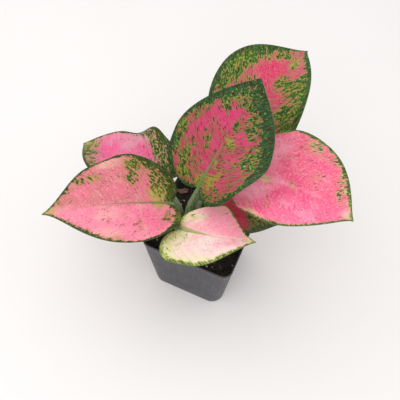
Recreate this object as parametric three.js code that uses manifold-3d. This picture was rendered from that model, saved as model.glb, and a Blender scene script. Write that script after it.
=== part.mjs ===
// A young variegated Chinese evergreen growing in a square nursery pot.
// Millimetres, +Z up. The pot stands square to X and Y, and the origin is the
// centre of its underside. Angles are in degrees, headings run from +X to +Y.
import * as THREE from "three";
import { mergeVertices } from "three/addons/utils/BufferGeometryUtils.js";
import Module from "manifold-3d";

const GAP = 0.3;            // clearance between pieces that touch

// Pot: thin tapered tub with rounded corners and holes in its floor.
const POT_TOP = 75;         // outer width across the rim
const POT_BASE = 64.5;      // outer width at the floor
const POT_HEIGHT = 73;
const POT_WALL = 1.2;
const POT_FLOOR = 1.6;
const CORNER_TOP = 7.5;     // outer corner radius at the rim
const CORNER_BASE = 11;
const DRAIN_RADIUS = 3;
const DRAIN_OFFSET = 19;    // corner holes, from the middle along X and Y

// Potting mix: a lumpy fill, lower around the cane.
const SOIL_TOP = 62;
const SOIL_LUMP = 0.9;
const HOLLOW_DEPTH = 2.6;
const HOLLOW_RADIUS = 15;

// Cane: the short main stem, with the leaf stalks around its top.
const CANE = new THREE.Vector3(-14, 3, 36);  // foot of the buried cane
const CANE_TOP = 68;
const CANE_RADIUS = 5;
const STALK_FOOT_Z = 61.4;
const TIP_STALK = new THREE.Vector3(-14.8, 4.4, CANE_TOP + GAP);
const STALK_FOOT_RADIUS = 2.4;
const STALK_END_RADIUS = 1.7;
const STALK_REACH = 0.5;     // how far a stalk's end reaches into the notch

// Roots: a crown under the cane with thick white roots running outwards.
const ROOT_COUNT = 6;
const ROOT_CROWN_HEIGHT = 6;
const ROOT_RADIUS = 1.7;
const ROOT_REACH = 25;
const ROOT_DEPTH = 8;        // height of the root tips over the pot's underside

// Blades: one thin sheet each. A half outline has a notch at the stalk, a base
// lobe, its widest place and a drawn-out tip, as shares of the blade's length.
const BLADE_THICKNESS = 0.7;
const NOTCH = 2.2;          // half width of the notch where the stalk meets the blade
const NOTCH_DEPTH = 2;
const TIP = 0.4;            // half width at the very tip
const BLADE_ROWS = 16;
const BLADE_COLUMNS = 8;
const RIPPLE_AT = [0.05, 0.3, 0.55, 0.8];  // where a margin's ripple is given
const RIPPLE_SPREAD = 0.13;

// fold lifts each half from the midrib, curl bends it on towards its margin,
// and ripple raises or lowers the margin by so many millimetres. Pairs are
// left half, right half, seen from the stalk. foot is the heading at which the
// stalk leaves the cane; the one without a foot is the youngest and stands on
// the cane's tip. via holds the stalk's two middle control points.
const LEAVES = [
  {
    name: "left", junction: [-25, -4, 90], length: 98, halfWidth: 36.5,
    heading: [218, 212], pitch: [23, 7, -16], roll: [4, 0],
    fold: [13, 21], curl: [-7, 7], spread: [1.03, 1.03], widest: [0.37, 0.39],
    lobe: [0.08, 0.12], fullness: [0.65, 0.74], taper: 0.18,
    ripple: [[1.5, -1.5, -1, 0], [1.5, 1.5, -4.5, 1.5]],
    foot: 228, via: [[-20, -3, 73], [-22, -1.5, 81]], color: 0xe58698,
  },
  {
    name: "back_left", junction: [-46, 15, 84], length: 84.5, halfWidth: 33,
    heading: [174, 168], pitch: [4, -5, -27], roll: [2, 8],
    fold: [15, 21], curl: [0, -9], spread: [0.97, 1.07], widest: [0.38, 0.36],
    lobe: [0.08, 0.26], fullness: [0.6, 0.5], taper: 0.13,
    ripple: [[0, 0, 0, 0], [6.5, 6.5, -7, -3]],
    foot: 172, via: [[-24, 6, 82], [-38, 12.8, 76]], color: 0xd06a86,
  },
  {
    name: "centre", junction: [-10.5, 10.5, 99.5], length: 96, halfWidth: 38,
    heading: [63, 68], pitch: [65, 54, 59], roll: [-11, -6],
    fold: [22, 12], curl: [11, -9], spread: [1, 1.11], widest: [0.35, 0.51],
    lobe: [0.1, 0.1], fullness: [0.72, 0.72], taper: 0.05,
    ripple: [[2.5, -1, -0.5, -0.5], [0.5, 4, -3.5, -2.5]],
    via: [[-16, 6.5, 78], [-12.7, 9, 90]], color: 0xb84a68,
  },
  {
    name: "back", junction: [3.5, 62.5, 100], length: 102.5, halfWidth: 39.5,
    heading: [76, 71], pitch: [72, 32, -11], roll: [-1, -9],
    fold: [18, 16], curl: [8, 2], spread: [1.07, 1.03], widest: [0.45, 0.35],
    lobe: [0.1, 0.1], fullness: [0.62, 0.62], taper: 0.15,
    ripple: [[0, 0, 0, 1], [0, -1.5, 1.5, 0]],
    foot: 118, via: [[-16, 15, 82], [1, 54, 82]], color: 0xb95a66,
  },
  {
    name: "right", junction: [23.5, 36, 104.5], length: 86.5, halfWidth: 38.5,
    heading: [-17, -4], pitch: [36, 11, -29], roll: [10, 11],
    fold: [30, 17], curl: [11, -1], spread: [1.03, 1.04], widest: [0.4, 0.36],
    lobe: [0.11, 0.11], fullness: [0.64, 0.64], taper: 0.14,
    ripple: [[0.5, 0.5, -2, 1], [0, 2.5, -2, 0]],
    foot: 62, via: [[-11, 20, 90], [12, 40, 93]], color: 0xee6d94,
  },
  {
    name: "front", junction: [-12, -21, 88.5], length: 60, halfWidth: 31.5,
    heading: [-3, 19], pitch: [17, 11, -6], roll: [-11, -18],
    fold: [7, 10], curl: [-6, -9], spread: [0.97, 1.14], widest: [0.41, 0.29],
    lobe: [0.12, 0.11], fullness: [0.82, 0.66], taper: 0.2,
    ripple: [[-1.5, -1.5, 2.5, -0.5], [-1.5, 1.5, -1, 1]],
    foot: 292, via: [[-12, -7, 75], [-17, -20.5, 81]], color: 0xf3cdc6,
  },
  {
    name: "low_right", junction: [-1.5, 6, 80], length: 61, halfWidth: 23,
    heading: [10, 22], pitch: [4, -4, -14], roll: [-6, -6],
    fold: [10, 17], curl: [0, 8], spread: [1, 1.06], widest: [0.4, 0.32],
    lobe: [0.1, 0.1], fullness: [0.62, 0.62], taper: 0.16,
    ripple: [[0, 0, 0, 0], [0, 0, 0, 0]],
    foot: 2, via: [[-6.3, 3.5, 68], [-7, 5, 75]], color: 0xa02c48,
  },
];

const wasm = await Module();
wasm.setup();

const radians = THREE.MathUtils.degToRad;
const lerp = THREE.MathUtils.lerp;

// ---------------------------------------------------------------- helpers

function closed(geometry) {
  geometry.deleteAttribute("normal");
  geometry.deleteAttribute("uv");
  return mergeVertices(geometry);
}

function toSolid(geometry) {
  return new wasm.Manifold(new wasm.Mesh({
    numProp: 3,
    vertProperties: new Float32Array(geometry.attributes.position.array),
    triVerts: new Uint32Array(geometry.index.array),
  }));
}

function toGeometry(solid) {
  const mesh = solid.getMesh();
  const geometry = new THREE.BufferGeometry();
  geometry.setAttribute("position", new THREE.BufferAttribute(mesh.vertProperties, 3));
  geometry.setIndex(new THREE.BufferAttribute(mesh.triVerts, 1));
  return geometry;
}

// Moves every vertex of a unit primitive to where place(x, y, z) puts it.
function shaped(geometry, place) {
  const position = geometry.attributes.position;
  for (let i = 0; i < position.count; i += 1) {
    const p = place(position.getX(i), position.getY(i), position.getZ(i));
    position.setXYZ(i, p.x, p.y, p.z);
  }
  return closed(geometry);
}

// A round rod that follows a curve, with its radius given along it.
function bentRod(curve, radiusAt, sides, steps) {
  const frames = curve.computeFrenetFrames(steps);
  return shaped(new THREE.CylinderGeometry(1, 1, 1, sides, steps), (x, y, z) => {
    const t = y + 0.5;
    const step = Math.round(t * steps);
    const radius = radiusAt(t);
    return curve.getPointAt(t)
      .addScaledVector(frames.normals[step], x * radius)
      .addScaledVector(frames.binormals[step], -z * radius);
  });
}

// -------------------------------------------------------------------- pot

// Point on a rounded square of the given width and corner radius: turn runs
// from 0 to 1 around it, with every corner taking CORNER_STEPS equal steps.
const CORNER_STEPS = 5;
const RING_POINTS = 4 * (CORNER_STEPS + 1);

function squareRing(turn, width, radius) {
  const index = Math.round(turn * RING_POINTS) % RING_POINTS;
  const corner = Math.floor(index / (CORNER_STEPS + 1));
  const step = (index % (CORNER_STEPS + 1)) / CORNER_STEPS;
  const angle = (corner + step) * Math.PI / 2;
  const middle = (corner + 0.5) * Math.PI / 2;
  const inset = width / 2 - radius;
  return new THREE.Vector2(
    Math.sign(Math.cos(middle)) * inset + radius * Math.cos(angle),
    Math.sign(Math.sin(middle)) * inset + radius * Math.sin(angle),
  );
}

// Outer width and corner radius of the pot at a height, less an inset.
function potSection(z, inset) {
  const t = z / POT_HEIGHT;
  return {
    width: lerp(POT_BASE, POT_TOP, t) - 2 * inset,
    radius: lerp(CORNER_BASE, CORNER_TOP, t) - inset,
  };
}

function taperedBlock(low, high, inset) {
  return shaped(new THREE.CylinderGeometry(1, 1, 1, RING_POINTS, 1), (x, y, z) => {
    const height = lerp(low, high, y + 0.5);
    if (Math.hypot(x, z) < 0.5) {
      return new THREE.Vector3(0, 0, height);
    }
    const turn = (Math.atan2(x, z) / (2 * Math.PI) + 1) % 1;
    const section = potSection(height, inset);
    const p = squareRing(turn, section.width, section.radius);
    return new THREE.Vector3(p.x, p.y, height);
  });
}

function drainHole(x, y) {
  const hole = new THREE.CylinderGeometry(DRAIN_RADIUS, DRAIN_RADIUS, 3 * POT_FLOOR, 12);
  hole.rotateX(Math.PI / 2);
  hole.translate(x, y, POT_FLOOR / 2);
  return toSolid(closed(hole));
}

function nurseryPot() {
  let pot = toSolid(taperedBlock(0, POT_HEIGHT, 0));
  pot = pot.subtract(toSolid(taperedBlock(POT_FLOOR, POT_HEIGHT + 1, POT_WALL)));
  const places = [[1, 1], [1, 0], [1, -1], [0, -1], [-1, -1], [-1, 0], [-1, 1], [0, 1]];
  for (const [x, y] of places) {
    pot = pot.subtract(drainHole(x * DRAIN_OFFSET, y * DRAIN_OFFSET));
  }
  return toGeometry(pot);
}

// --------------------------------------------------------- cane and roots

function cane(grow) {
  const radius = CANE_RADIUS + grow;
  const profile = [[0, CANE.z - grow], [radius - 1, CANE.z - grow], [radius, CANE.z + 1]];
  for (const z of [44, 52, 60]) {
    profile.push([radius - 0.3, z - 1.2], [radius, z], [radius - 0.3, z + 1.2]);
  }
  profile.push([radius - 0.5, CANE_TOP - 2.5], [radius - 2, CANE_TOP - 0.6], [0, CANE_TOP]);
  const geometry = new THREE.LatheGeometry(profile.map(([x, y]) => new THREE.Vector2(x, y)), 16);
  geometry.rotateX(Math.PI / 2);
  geometry.translate(CANE.x, CANE.y, 0);
  return closed(geometry);
}

function rootCurve(index, grow) {
  const angle = radians(20 + index * 360 / ROOT_COUNT);
  const out = new THREE.Vector3(Math.cos(angle), Math.sin(angle), 0);
  const top = CANE.z - GAP - ROOT_CROWN_HEIGHT / 2;
  // The cane stands left of the middle, so roots on that side are shorter.
  const room = Math.cos(angle) < -0.3 ? 0.42 : 1;
  const reach = ROOT_REACH * room;
  const at = (share, z) => out.clone().multiplyScalar(reach * share)
    .add(new THREE.Vector3(CANE.x, CANE.y, z));
  return new THREE.CubicBezierCurve3(
    at(0.06, top), at(0.5, top + 1), at(0.9, top - 4), at(1, ROOT_DEPTH - grow),
  );
}

function roots(grow) {
  const height = ROOT_CROWN_HEIGHT + 2 * grow;
  const crown = new THREE.CylinderGeometry(CANE_RADIUS + grow, 3 + grow, height, 12);
  crown.rotateX(Math.PI / 2);
  crown.translate(CANE.x, CANE.y, CANE.z - GAP - ROOT_CROWN_HEIGHT / 2);
  let solid = toSolid(closed(crown));
  for (let i = 0; i < ROOT_COUNT; i += 1) {
    const radiusAt = (t) => lerp(ROOT_RADIUS, 0.7, t) + grow;
    solid = solid.add(toSolid(bentRod(rootCurve(i, grow), radiusAt, 6, 8)));
  }
  return solid;
}

// ----------------------------------------------------------- potting mix

function soilHeight(x, y) {
  const away = Math.hypot(x - CANE.x, y - CANE.y) / HOLLOW_RADIUS;
  const hollow = HOLLOW_DEPTH * Math.exp(-(away ** 4));
  const lumps = Math.sin(x * 0.31 + 1) * Math.cos(y * 0.27) + 0.5 * Math.sin(x * 0.7 - y * 0.6);
  return SOIL_TOP - hollow + SOIL_LUMP * lumps * (1 - hollow / HOLLOW_DEPTH) / 1.5;
}

function pottingMix() {
  const cells = 14;
  const floor = POT_FLOOR + GAP;
  const block = shaped(new THREE.BoxGeometry(1, 1, 1, cells, cells, 1), (bx, by, bz) => {
    // Square cells are pushed into the pot's rounded square, ring by ring.
    const share = 2 * Math.max(Math.abs(bx), Math.abs(by));
    if (share === 0) {
      return new THREE.Vector3(0, 0, bz > 0 ? soilHeight(0, 0) : floor);
    }
    const z = bz > 0 ? SOIL_TOP : floor;
    const { width, radius } = potSection(z, POT_WALL + GAP);
    const inset = width / 2 - radius;
    const p = new THREE.Vector2(bx, by).multiplyScalar(width / share);
    const overX = Math.abs(p.x) - inset;
    const overY = Math.abs(p.y) - inset;
    if (overX > 0 && overY > 0) {
      const pull = radius / Math.hypot(overX, overY);
      p.x = Math.sign(p.x) * (inset + overX * pull);
      p.y = Math.sign(p.y) * (inset + overY * pull);
    }
    p.multiplyScalar(share);
    return new THREE.Vector3(p.x, p.y, bz > 0 ? soilHeight(p.x, p.y) : floor);
  });
  return toGeometry(toSolid(block)
    .subtract(toSolid(cane(GAP)))
    .subtract(roots(GAP)));
}

// A flake of bark lying on the mix in the back left corner.
function barkChip() {
  const centre = new THREE.Vector3(-30.5, 26.5, 0);
  const turn = radians(28);
  const rest = soilHeight(centre.x, centre.y) + 2 * GAP;
  return shaped(new THREE.BoxGeometry(9, 4.6, 1.8, 4, 2, 1), (x, y, z) => {
    const waist = 1 - 0.09 * Math.abs(x) + 0.05 * Math.sin(2 * x);
    const across = y * waist;
    return new THREE.Vector3(
      centre.x + x * Math.cos(turn) - across * Math.sin(turn),
      centre.y + x * Math.sin(turn) + across * Math.cos(turn),
      rest + 0.9 + z + 0.02 * x * x,
    );
  });
}

// ----------------------------------------------------------------- leaves

// Value along a blade from its base to its tip: two numbers run straight, and
// three are the base, the middle and the tip of a smooth curve.
function along(values, f) {
  if (values.length === 2) {
    return lerp(values[0], values[1], f);
  }
  const [base, middle, tip] = values;
  return base * (1 - f) * (1 - 2 * f) + middle * 4 * f * (1 - f) + tip * f * (2 * f - 1);
}

// Directions at a share f of the length: forward along the midrib, left across
// the blade, and up out of its face.
function bladeAxes(leaf, f) {
  const heading = radians(along(leaf.heading, f));
  const pitch = radians(along(leaf.pitch, f));
  const roll = radians(along(leaf.roll, f));
  const forward = new THREE.Vector3(
    Math.cos(heading) * Math.cos(pitch),
    Math.sin(heading) * Math.cos(pitch),
    Math.sin(pitch),
  );
  const level = new THREE.Vector3(-Math.sin(heading), Math.cos(heading), 0);
  const rise = new THREE.Vector3().crossVectors(forward, level);
  const left = level.clone().multiplyScalar(Math.cos(roll)).addScaledVector(rise, Math.sin(roll));
  return { forward, left, up: new THREE.Vector3().crossVectors(forward, left) };
}

const MIDRIB_STEPS = 48;

function midribPoints(leaf) {
  const points = [new THREE.Vector3(...leaf.junction)];
  for (let i = 0; i < MIDRIB_STEPS; i += 1) {
    const { forward } = bladeAxes(leaf, (i + 0.5) / MIDRIB_STEPS);
    points.push(points[i].clone().addScaledVector(forward, leaf.length / MIDRIB_STEPS));
  }
  return points;
}

function midribPoint(leaf, points, x) {
  const step = THREE.MathUtils.clamp(x / leaf.length, 0, 1) * MIDRIB_STEPS;
  const low = Math.min(Math.floor(step), MIDRIB_STEPS - 1);
  return points[low].clone().lerp(points[low + 1], step - low);
}

// Half outline of the flat blade: u 0 is the notch, 0.5 the widest place and
// 1 the tip.
function halfOutline(leaf, side, u) {
  const { length, halfWidth, taper } = leaf;
  const widest = leaf.widest[side] * length;
  const lobe = leaf.lobe[side];
  const fullness = leaf.fullness[side];
  const corners = u < 0.5
    ? [[0, NOTCH], [-1.33 * lobe * length, 0.55 * fullness * halfWidth],
      [widest - 0.3 * length, halfWidth], [widest, halfWidth]]
    : [[widest, halfWidth], [widest + 0.306 * length, halfWidth],
      [length * (1 - taper), 0.17 * halfWidth], [length, TIP]];
  const curve = new THREE.CubicBezierCurve(...corners.map(([x, y]) => new THREE.Vector2(x, y)));
  return curve.getPoint(u < 0.5 ? 2 * u : 2 * u - 1);
}

// Place on the flat blade, along the midrib and left across it, at u along and
// s across, s from -1 right to 1 left. The row at the notch bends back at least
// as steeply as the margin leaves its corner, so that no two rows cross there.
function flatPlace(leaf, u, s) {
  const side = s >= 0 ? 0 : 1;
  const outline = halfOutline(leaf, side, u);
  const leaving = halfOutline(leaf, side, 0.001);
  const steepness = -leaving.x / (leaving.y - NOTCH);
  const bend = lerp(1.3, Math.max(1, 1.2 * steepness * NOTCH / NOTCH_DEPTH), (1 - u) ** 4);
  const rowStart = NOTCH_DEPTH + (leaf.length - NOTCH_DEPTH) * u ** 1.5;
  return new THREE.Vector2(
    rowStart + (outline.x - rowStart) * Math.abs(s) ** bend,
    outline.y * s * leaf.spread[side],
  );
}

// Point of the bent blade at a place on the flat one.
function bladePoint(leaf, points, x, y) {
  const side = y >= 0 ? 0 : 1;
  const f = THREE.MathUtils.clamp(x / leaf.length, 0, 1);
  const axes = bladeAxes(leaf, f);
  const spine = midribPoint(leaf, points, x).addScaledVector(axes.forward, x - f * leaf.length);
  const across = Math.abs(y) / leaf.halfWidth;
  const lift = radians(leaf.fold[side] + leaf.curl[side] * across / 2);
  const ripple = leaf.ripple[side].reduce((sum, height, i) => (
    sum + height * Math.exp(-(((x / leaf.length - RIPPLE_AT[i]) / RIPPLE_SPREAD) ** 2))
  ), 0);
  return spine
    .addScaledVector(axes.left, y * Math.cos(lift))
    .addScaledVector(axes.up, Math.abs(y) * Math.sin(lift) + across * across * ripple);
}

// Box cut into a grid whose back has the diagonals of its front, so that the two
// faces stay parallel where a blade made from it twists.
function sheet() {
  const box = new THREE.BoxGeometry(1, 1, 1, BLADE_COLUMNS, BLADE_ROWS, 1);
  const back = box.groups[5];
  for (let i = back.start; i < back.start + back.count; i += 6) {
    const [a, b, d, , c] = box.index.array.slice(i, i + 6);
    box.index.array.set([a, b, c, a, c, d], i);
  }
  return box;
}

function blade(leaf) {
  const points = midribPoints(leaf);
  const step = 0.2;
  return shaped(sheet(), (boxX, boxY, boxZ) => {
    const { x, y } = flatPlace(leaf, boxY + 0.5, -2 * boxX);
    const lengthwise = bladePoint(leaf, points, x + step, y)
      .sub(bladePoint(leaf, points, x - step, y));
    const crosswise = bladePoint(leaf, points, x, y + step)
      .sub(bladePoint(leaf, points, x, y - step));
    const normal = lengthwise.cross(crosswise).normalize();
    return bladePoint(leaf, points, x, y).addScaledVector(normal, boxZ * BLADE_THICKNESS);
  });
}

function stalkFoot(angle) {
  const away = CANE_RADIUS + STALK_FOOT_RADIUS;
  return new THREE.Vector3(
    CANE.x + away * Math.cos(angle),
    CANE.y + away * Math.sin(angle),
    STALK_FOOT_Z,
  );
}

function stalk(leaf) {
  const foot = leaf.foot === undefined ? TIP_STALK : stalkFoot(radians(leaf.foot));
  const via = leaf.via.map((p) => new THREE.Vector3(...p));
  const junction = new THREE.Vector3(...leaf.junction);
  // The end face is tilted against the blade, so it stops that much sooner.
  const { forward } = bladeAxes(leaf, 0);
  const tilt = junction.clone().sub(via[1]).angleTo(forward);
  const end = junction.addScaledVector(forward, STALK_REACH - STALK_END_RADIUS * Math.sin(tilt));
  const curve = new THREE.CubicBezierCurve3(foot, ...via, end);
  return bentRod(curve, (t) => lerp(STALK_FOOT_RADIUS, STALK_END_RADIUS, t), 8, 9);
}

// --------------------------------------------------------------- assembly

const group = new THREE.Group();

function add(name, geometry, color, roughness) {
  geometry.computeVertexNormals();
  const material = new THREE.MeshStandardMaterial({ color, roughness, metalness: 0 });
  const mesh = new THREE.Mesh(geometry, material);
  mesh.name = name;
  group.add(mesh);
}

add("nursery_pot", nurseryPot(), 0x55545a, 0.5);
add("potting_mix", pottingMix(), 0x1c1512, 0.95);
add("cane", cane(0), 0x5c6b3a, 0.6);
add("roots", toGeometry(roots(0)), 0xd8cba6, 0.8);
add("bark_chip", barkChip(), 0x8a6554, 0.85);
for (const leaf of LEAVES) {
  add(`leaf_${leaf.name}`, blade(leaf), leaf.color, 0.4);
  add(`stalk_${leaf.name}`, stalk(leaf), 0x7f9a62, 0.45);
}

export default group;
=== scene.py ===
import math
import random

import bmesh
import bpy
import numpy as np
from mathutils import Matrix, Vector, noise


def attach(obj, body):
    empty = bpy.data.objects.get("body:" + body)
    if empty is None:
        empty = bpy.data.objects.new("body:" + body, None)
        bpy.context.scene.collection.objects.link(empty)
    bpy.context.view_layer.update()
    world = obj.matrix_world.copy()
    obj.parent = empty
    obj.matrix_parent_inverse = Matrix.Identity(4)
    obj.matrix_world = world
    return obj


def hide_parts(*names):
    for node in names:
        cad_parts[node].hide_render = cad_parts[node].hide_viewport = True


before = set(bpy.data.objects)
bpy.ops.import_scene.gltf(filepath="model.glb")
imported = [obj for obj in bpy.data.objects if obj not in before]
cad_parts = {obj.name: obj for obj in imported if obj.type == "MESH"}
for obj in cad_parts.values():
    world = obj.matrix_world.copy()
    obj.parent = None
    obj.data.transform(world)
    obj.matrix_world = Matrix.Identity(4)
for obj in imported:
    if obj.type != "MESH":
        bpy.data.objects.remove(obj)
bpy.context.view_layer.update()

MM = 0.001


# ------------------------------------------------------------------ nursery pot
# A square tapered nursery pot, injection moulded in one thin wall from recycled
# polypropylene. The plastic is dark grey with a satin skin that scuffs easily.
# Eight holes in the floor drain it.

POT_TOP = 75.0
POT_BASE = 64.5
POT_HEIGHT = 73.0
POT_WALL = 1.2
POT_FLOOR = 1.6
CORNER_TOP = 7.5
CORNER_BASE = 11.0
DRAIN_RADIUS = 3.0
DRAIN_OFFSET = 19.0


def linear(hex_colour):
    """An sRGB hex colour as linear red, green, blue and alpha."""
    channels = [int(hex_colour[i:i + 2], 16) / 255 for i in (1, 3, 5)]
    return [c / 12.92 if c <= 0.04045 else ((c + 0.055) / 1.055) ** 2.4 for c in channels] + [1.0]


def add_node(tree, kind, inputs, out=0, **settings):
    """Adds a node with its settings, values and links, and returns one of its outputs."""
    made = tree.nodes.new(kind)
    for name, value in settings.items():
        setattr(made, name, value)
    for key, value in inputs.items():
        if isinstance(value, bpy.types.NodeSocket):
            tree.links.new(value, made.inputs[key])
        else:
            made.inputs[key].default_value = value
    return made.outputs[out] if made.outputs else made


def new_material(name):
    """An empty material of that name, and its node tree."""
    material = bpy.data.materials.new(name)
    material.use_nodes = True
    material.node_tree.nodes.clear()
    return material, material.node_tree


def tinted(tree, ground, source, start, full, tint, most=1.0):
    """Lays a tint over a ground colour where a pattern's value goes from start to full."""
    cover = add_node(tree, "ShaderNodeMapRange", {0: source, 1: start, 2: full, 4: most})
    return add_node(tree, "ShaderNodeMix", {0: cover, 6: ground, 7: tint}, out=2, data_type="RGBA")


def linked_object(name, bm):
    """A finished mesh as an object of that name in the scene."""
    mesh = bpy.data.meshes.new(name)
    bm.to_mesh(mesh)
    bm.free()
    made = bpy.data.objects.new(name, mesh)
    bpy.context.scene.collection.objects.link(made)
    return made


def add_piece(name, bm, materials, nodes=(), smooth=True):
    """Makes a finished mesh a piece of the object, in one body with the pot and plant."""
    piece = linked_object(name, bm)
    for material in materials:
        piece.data.materials.append(material)
    if smooth:
        piece.data.shade_smooth()
    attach(piece, "root")
    if nodes:
        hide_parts(*nodes)
    return piece


def lerp(a, b, t):
    """The value at share t of the way from a to b."""
    return a + (b - a) * t


def pot_section(z, inset):
    """Half width and corner radius of the pot at a height, less an inset."""
    t = z / POT_HEIGHT
    return lerp(POT_BASE, POT_TOP, t) / 2 - inset, lerp(CORNER_BASE, CORNER_TOP, t) - inset


def on_rounded_square(direction_x, direction_y, half, radius):
    """Where a ray from the middle meets a square of that half width with round corners."""
    flat = half / max(abs(direction_x), abs(direction_y))
    x, y = direction_x * flat, direction_y * flat
    middle = half - radius
    if min(abs(x), abs(y)) <= middle:
        return x, y
    ax, ay = abs(direction_x), abs(direction_y)
    size = ax * ax + ay * ay
    dot = middle * (ax + ay)
    reach = (dot + math.sqrt(max(dot * dot - size * (2 * middle * middle - radius * radius), 0))) / size
    return direction_x * reach, direction_y * reach


def swept_skin(place, steps, sides, closed_ends=True):
    """A closed skin: a grid rolled into a tube, with place(t, turn) giving each point in mm."""
    bm = bmesh.new()
    bmesh.ops.create_grid(bm, x_segments=sides, y_segments=steps, size=1.0)
    for v in bm.verts:
        turn = (v.co.x + 1) / 2
        v.co = Vector(place((v.co.y + 1) / 2, turn % 1.0 if turn < 0.9999 else 0.0)) * MM
    bmesh.ops.remove_doubles(bm, verts=bm.verts, dist=1e-7)
    if closed_ends:
        bmesh.ops.holes_fill(bm, edges=[e for e in bm.edges if e.is_boundary], sides=0)
    bmesh.ops.recalc_face_normals(bm, faces=bm.faces)
    return bm


def arc(centre, start, end, radius, points):
    """Points of a rounded edge of the wall's section: (inset, height) in mm."""
    angles = [math.radians(lerp(start, end, i / (points - 1))) for i in range(points)]
    return [(centre[0] + radius * math.cos(a), centre[1] + radius * math.sin(a)) for a in angles]


# The wall's section as (inset from the outside, height): out along the underside,
# up the outside to the bead and the lip, down the inside and in along the floor.
MIDDLE = 30.0
FOOT_ROUND = 1.2
FLOOR_ROUND = 2.0
BEAD = 0.25
LIP = POT_WALL / 2
RISE = 6.0
pot_profile = [(MIDDLE, 0.0), (15.0, 0.0), (3.0, 0.0)]
pot_profile += arc((FOOT_ROUND, FOOT_ROUND), 270, 180, FOOT_ROUND, 6)
pot_profile += [(0.0, 4.0 + RISE * i) for i in range(11)] + [(0.0, 70.0)]
pot_profile += [(-BEAD, 70.6), (-BEAD, 72.0)]
pot_profile += arc((LIP - 0.15, POT_HEIGHT - LIP), 170, 10, LIP, 7)
pot_profile += [(POT_WALL, 71.5)] + [(POT_WALL, 70.0 - RISE * i) for i in range(11)]
pot_profile += arc((POT_WALL + FLOOR_ROUND, POT_FLOOR + FLOOR_ROUND), 180, 270, FLOOR_ROUND, 5)
pot_profile += [(6.0, POT_FLOOR), (15.0, POT_FLOOR), (MIDDLE, POT_FLOOR)]

# Thin walls bow out a little between the corners.
WALL_BOW = 0.25


def pot_point(t, turn):
    """A point of the pot's skin, at share t of its section and a share of the turn round it."""
    inset, z = pot_profile[round(t * (len(pot_profile) - 1))]
    half, radius = pot_section(max(z, 0), 0)
    angle = math.tau * turn
    if inset >= MIDDLE:
        return 0.0, 0.0, z
    # Rings of the floor that lie well inside the wall have rounder corners.
    radius = max(radius - inset, 0.5) if inset < 6 else (half - inset) * 0.3
    x, y = on_rounded_square(math.cos(angle), math.sin(angle), half - inset, radius)
    bow = WALL_BOW * math.sin(math.pi * min(z / POT_HEIGHT, 1)) * math.cos(2 * angle) ** 2
    return x * (1 + bow / half), y * (1 + bow / half), z


pot_bm = swept_skin(pot_point, steps=len(pot_profile) - 1, sides=128, closed_ends=False)

# The drain holes are cut with short rods, turned a little so that their edges
# keep off the floor's own.
ROD_TURN = math.radians(3)
ROD_LENGTH = 8.0
cutter_bm = bmesh.new()
for x, y in [(1, 1), (1, 0), (1, -1), (0, -1), (-1, -1), (-1, 0), (-1, 1), (0, 1)]:
    at = Matrix.Translation(Vector((x * DRAIN_OFFSET, y * DRAIN_OFFSET, 1.0)) * MM)
    at = at @ Matrix.Rotation(ROD_TURN, 4, "Z")
    bmesh.ops.create_cone(cutter_bm, cap_ends=True, segments=24, radius1=DRAIN_RADIUS * MM,
                          radius2=DRAIN_RADIUS * MM, depth=ROD_LENGTH * MM, matrix=at)
cutter = linked_object("drain_cutter", cutter_bm)


def pot_plastic():
    """Polypropylene, moulded: satin skin, faint flow mottling, scuffs, and dust near the foot."""
    material, tree = new_material("moulded_dark_polypropylene")
    place = add_node(tree, "ShaderNodeTexCoord", {}, out=3)
    height = add_node(tree, "ShaderNodeSeparateXYZ", {0: place}, out=2)
    flow = add_node(tree, "ShaderNodeTexNoise", {"Vector": place, "Scale": 1 / 0.018, "Detail": 4.0})
    skin = add_node(tree, "ShaderNodeTexNoise", {"Vector": place, "Scale": 1 / 0.0012, "Detail": 3.0})
    stretched = add_node(tree, "ShaderNodeMapping", {"Vector": place, "Scale": (1.0, 1.0, 0.12)})
    scuff = add_node(tree, "ShaderNodeTexNoise",
                     {"Vector": stretched, "Scale": 1 / 0.0022, "Detail": 5.0, "Roughness": 0.7})
    body = tinted(tree, linear("#303036"), flow, 0.35, 0.68, linear("#3C3B42"))
    worn = tinted(tree, body, scuff, 0.60, 0.74, linear("#52515A"))
    low = add_node(tree, "ShaderNodeMapRange", {0: height, 1: 0.016, 2: 0.0, 3: 0.0, 4: 0.55})
    dusty = add_node(tree, "ShaderNodeMath", {0: low, 1: scuff}, operation="MULTIPLY")
    colour = add_node(tree, "ShaderNodeMix",
                      {0: dusty, 6: worn, 7: linear("#6E6B6C")}, out=2, data_type="RGBA")
    rough = add_node(tree, "ShaderNodeMapRange", {0: scuff, 1: 0.3, 2: 0.7, 3: 0.36, 4: 0.52})
    bump = add_node(tree, "ShaderNodeBump", {"Height": skin, "Strength": 0.12, "Distance": 0.0003})
    shader = add_node(tree, "ShaderNodeBsdfPrincipled",
                      {"Base Color": colour, "Roughness": rough, "Normal": bump, "IOR": 1.49})
    add_node(tree, "ShaderNodeOutputMaterial", {0: shader})
    return material


pot = add_piece("nursery_pot_moulding", pot_bm, [pot_plastic()], ["nursery_pot"])
holes = pot.modifiers.new("drain_holes", "BOOLEAN")
holes.operation = "DIFFERENCE"
holes.solver = "EXACT"
holes.object = cutter
bpy.context.view_layer.update()
drained = bpy.data.meshes.new_from_object(pot.evaluated_get(bpy.context.evaluated_depsgraph_get()))
pot.modifiers.clear()
pot.data = drained
bpy.data.objects.remove(cutter)
drained.shade_smooth()


# ----------------------------------------------------------------- potting mix
# Damp peat and fine bark, packed by hand round the roots and sunk a little
# round the cane. Pale grains of perlite and chips of bark lie in its top.

SOIL_TOP = 62.0
SOIL_LUMP = 0.9
HOLLOW_DEPTH = 2.6
HOLLOW_RADIUS = 15.0
CANE_X = -14.0
CANE_Y = 3.0
SOIL_CELLS = 150

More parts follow.
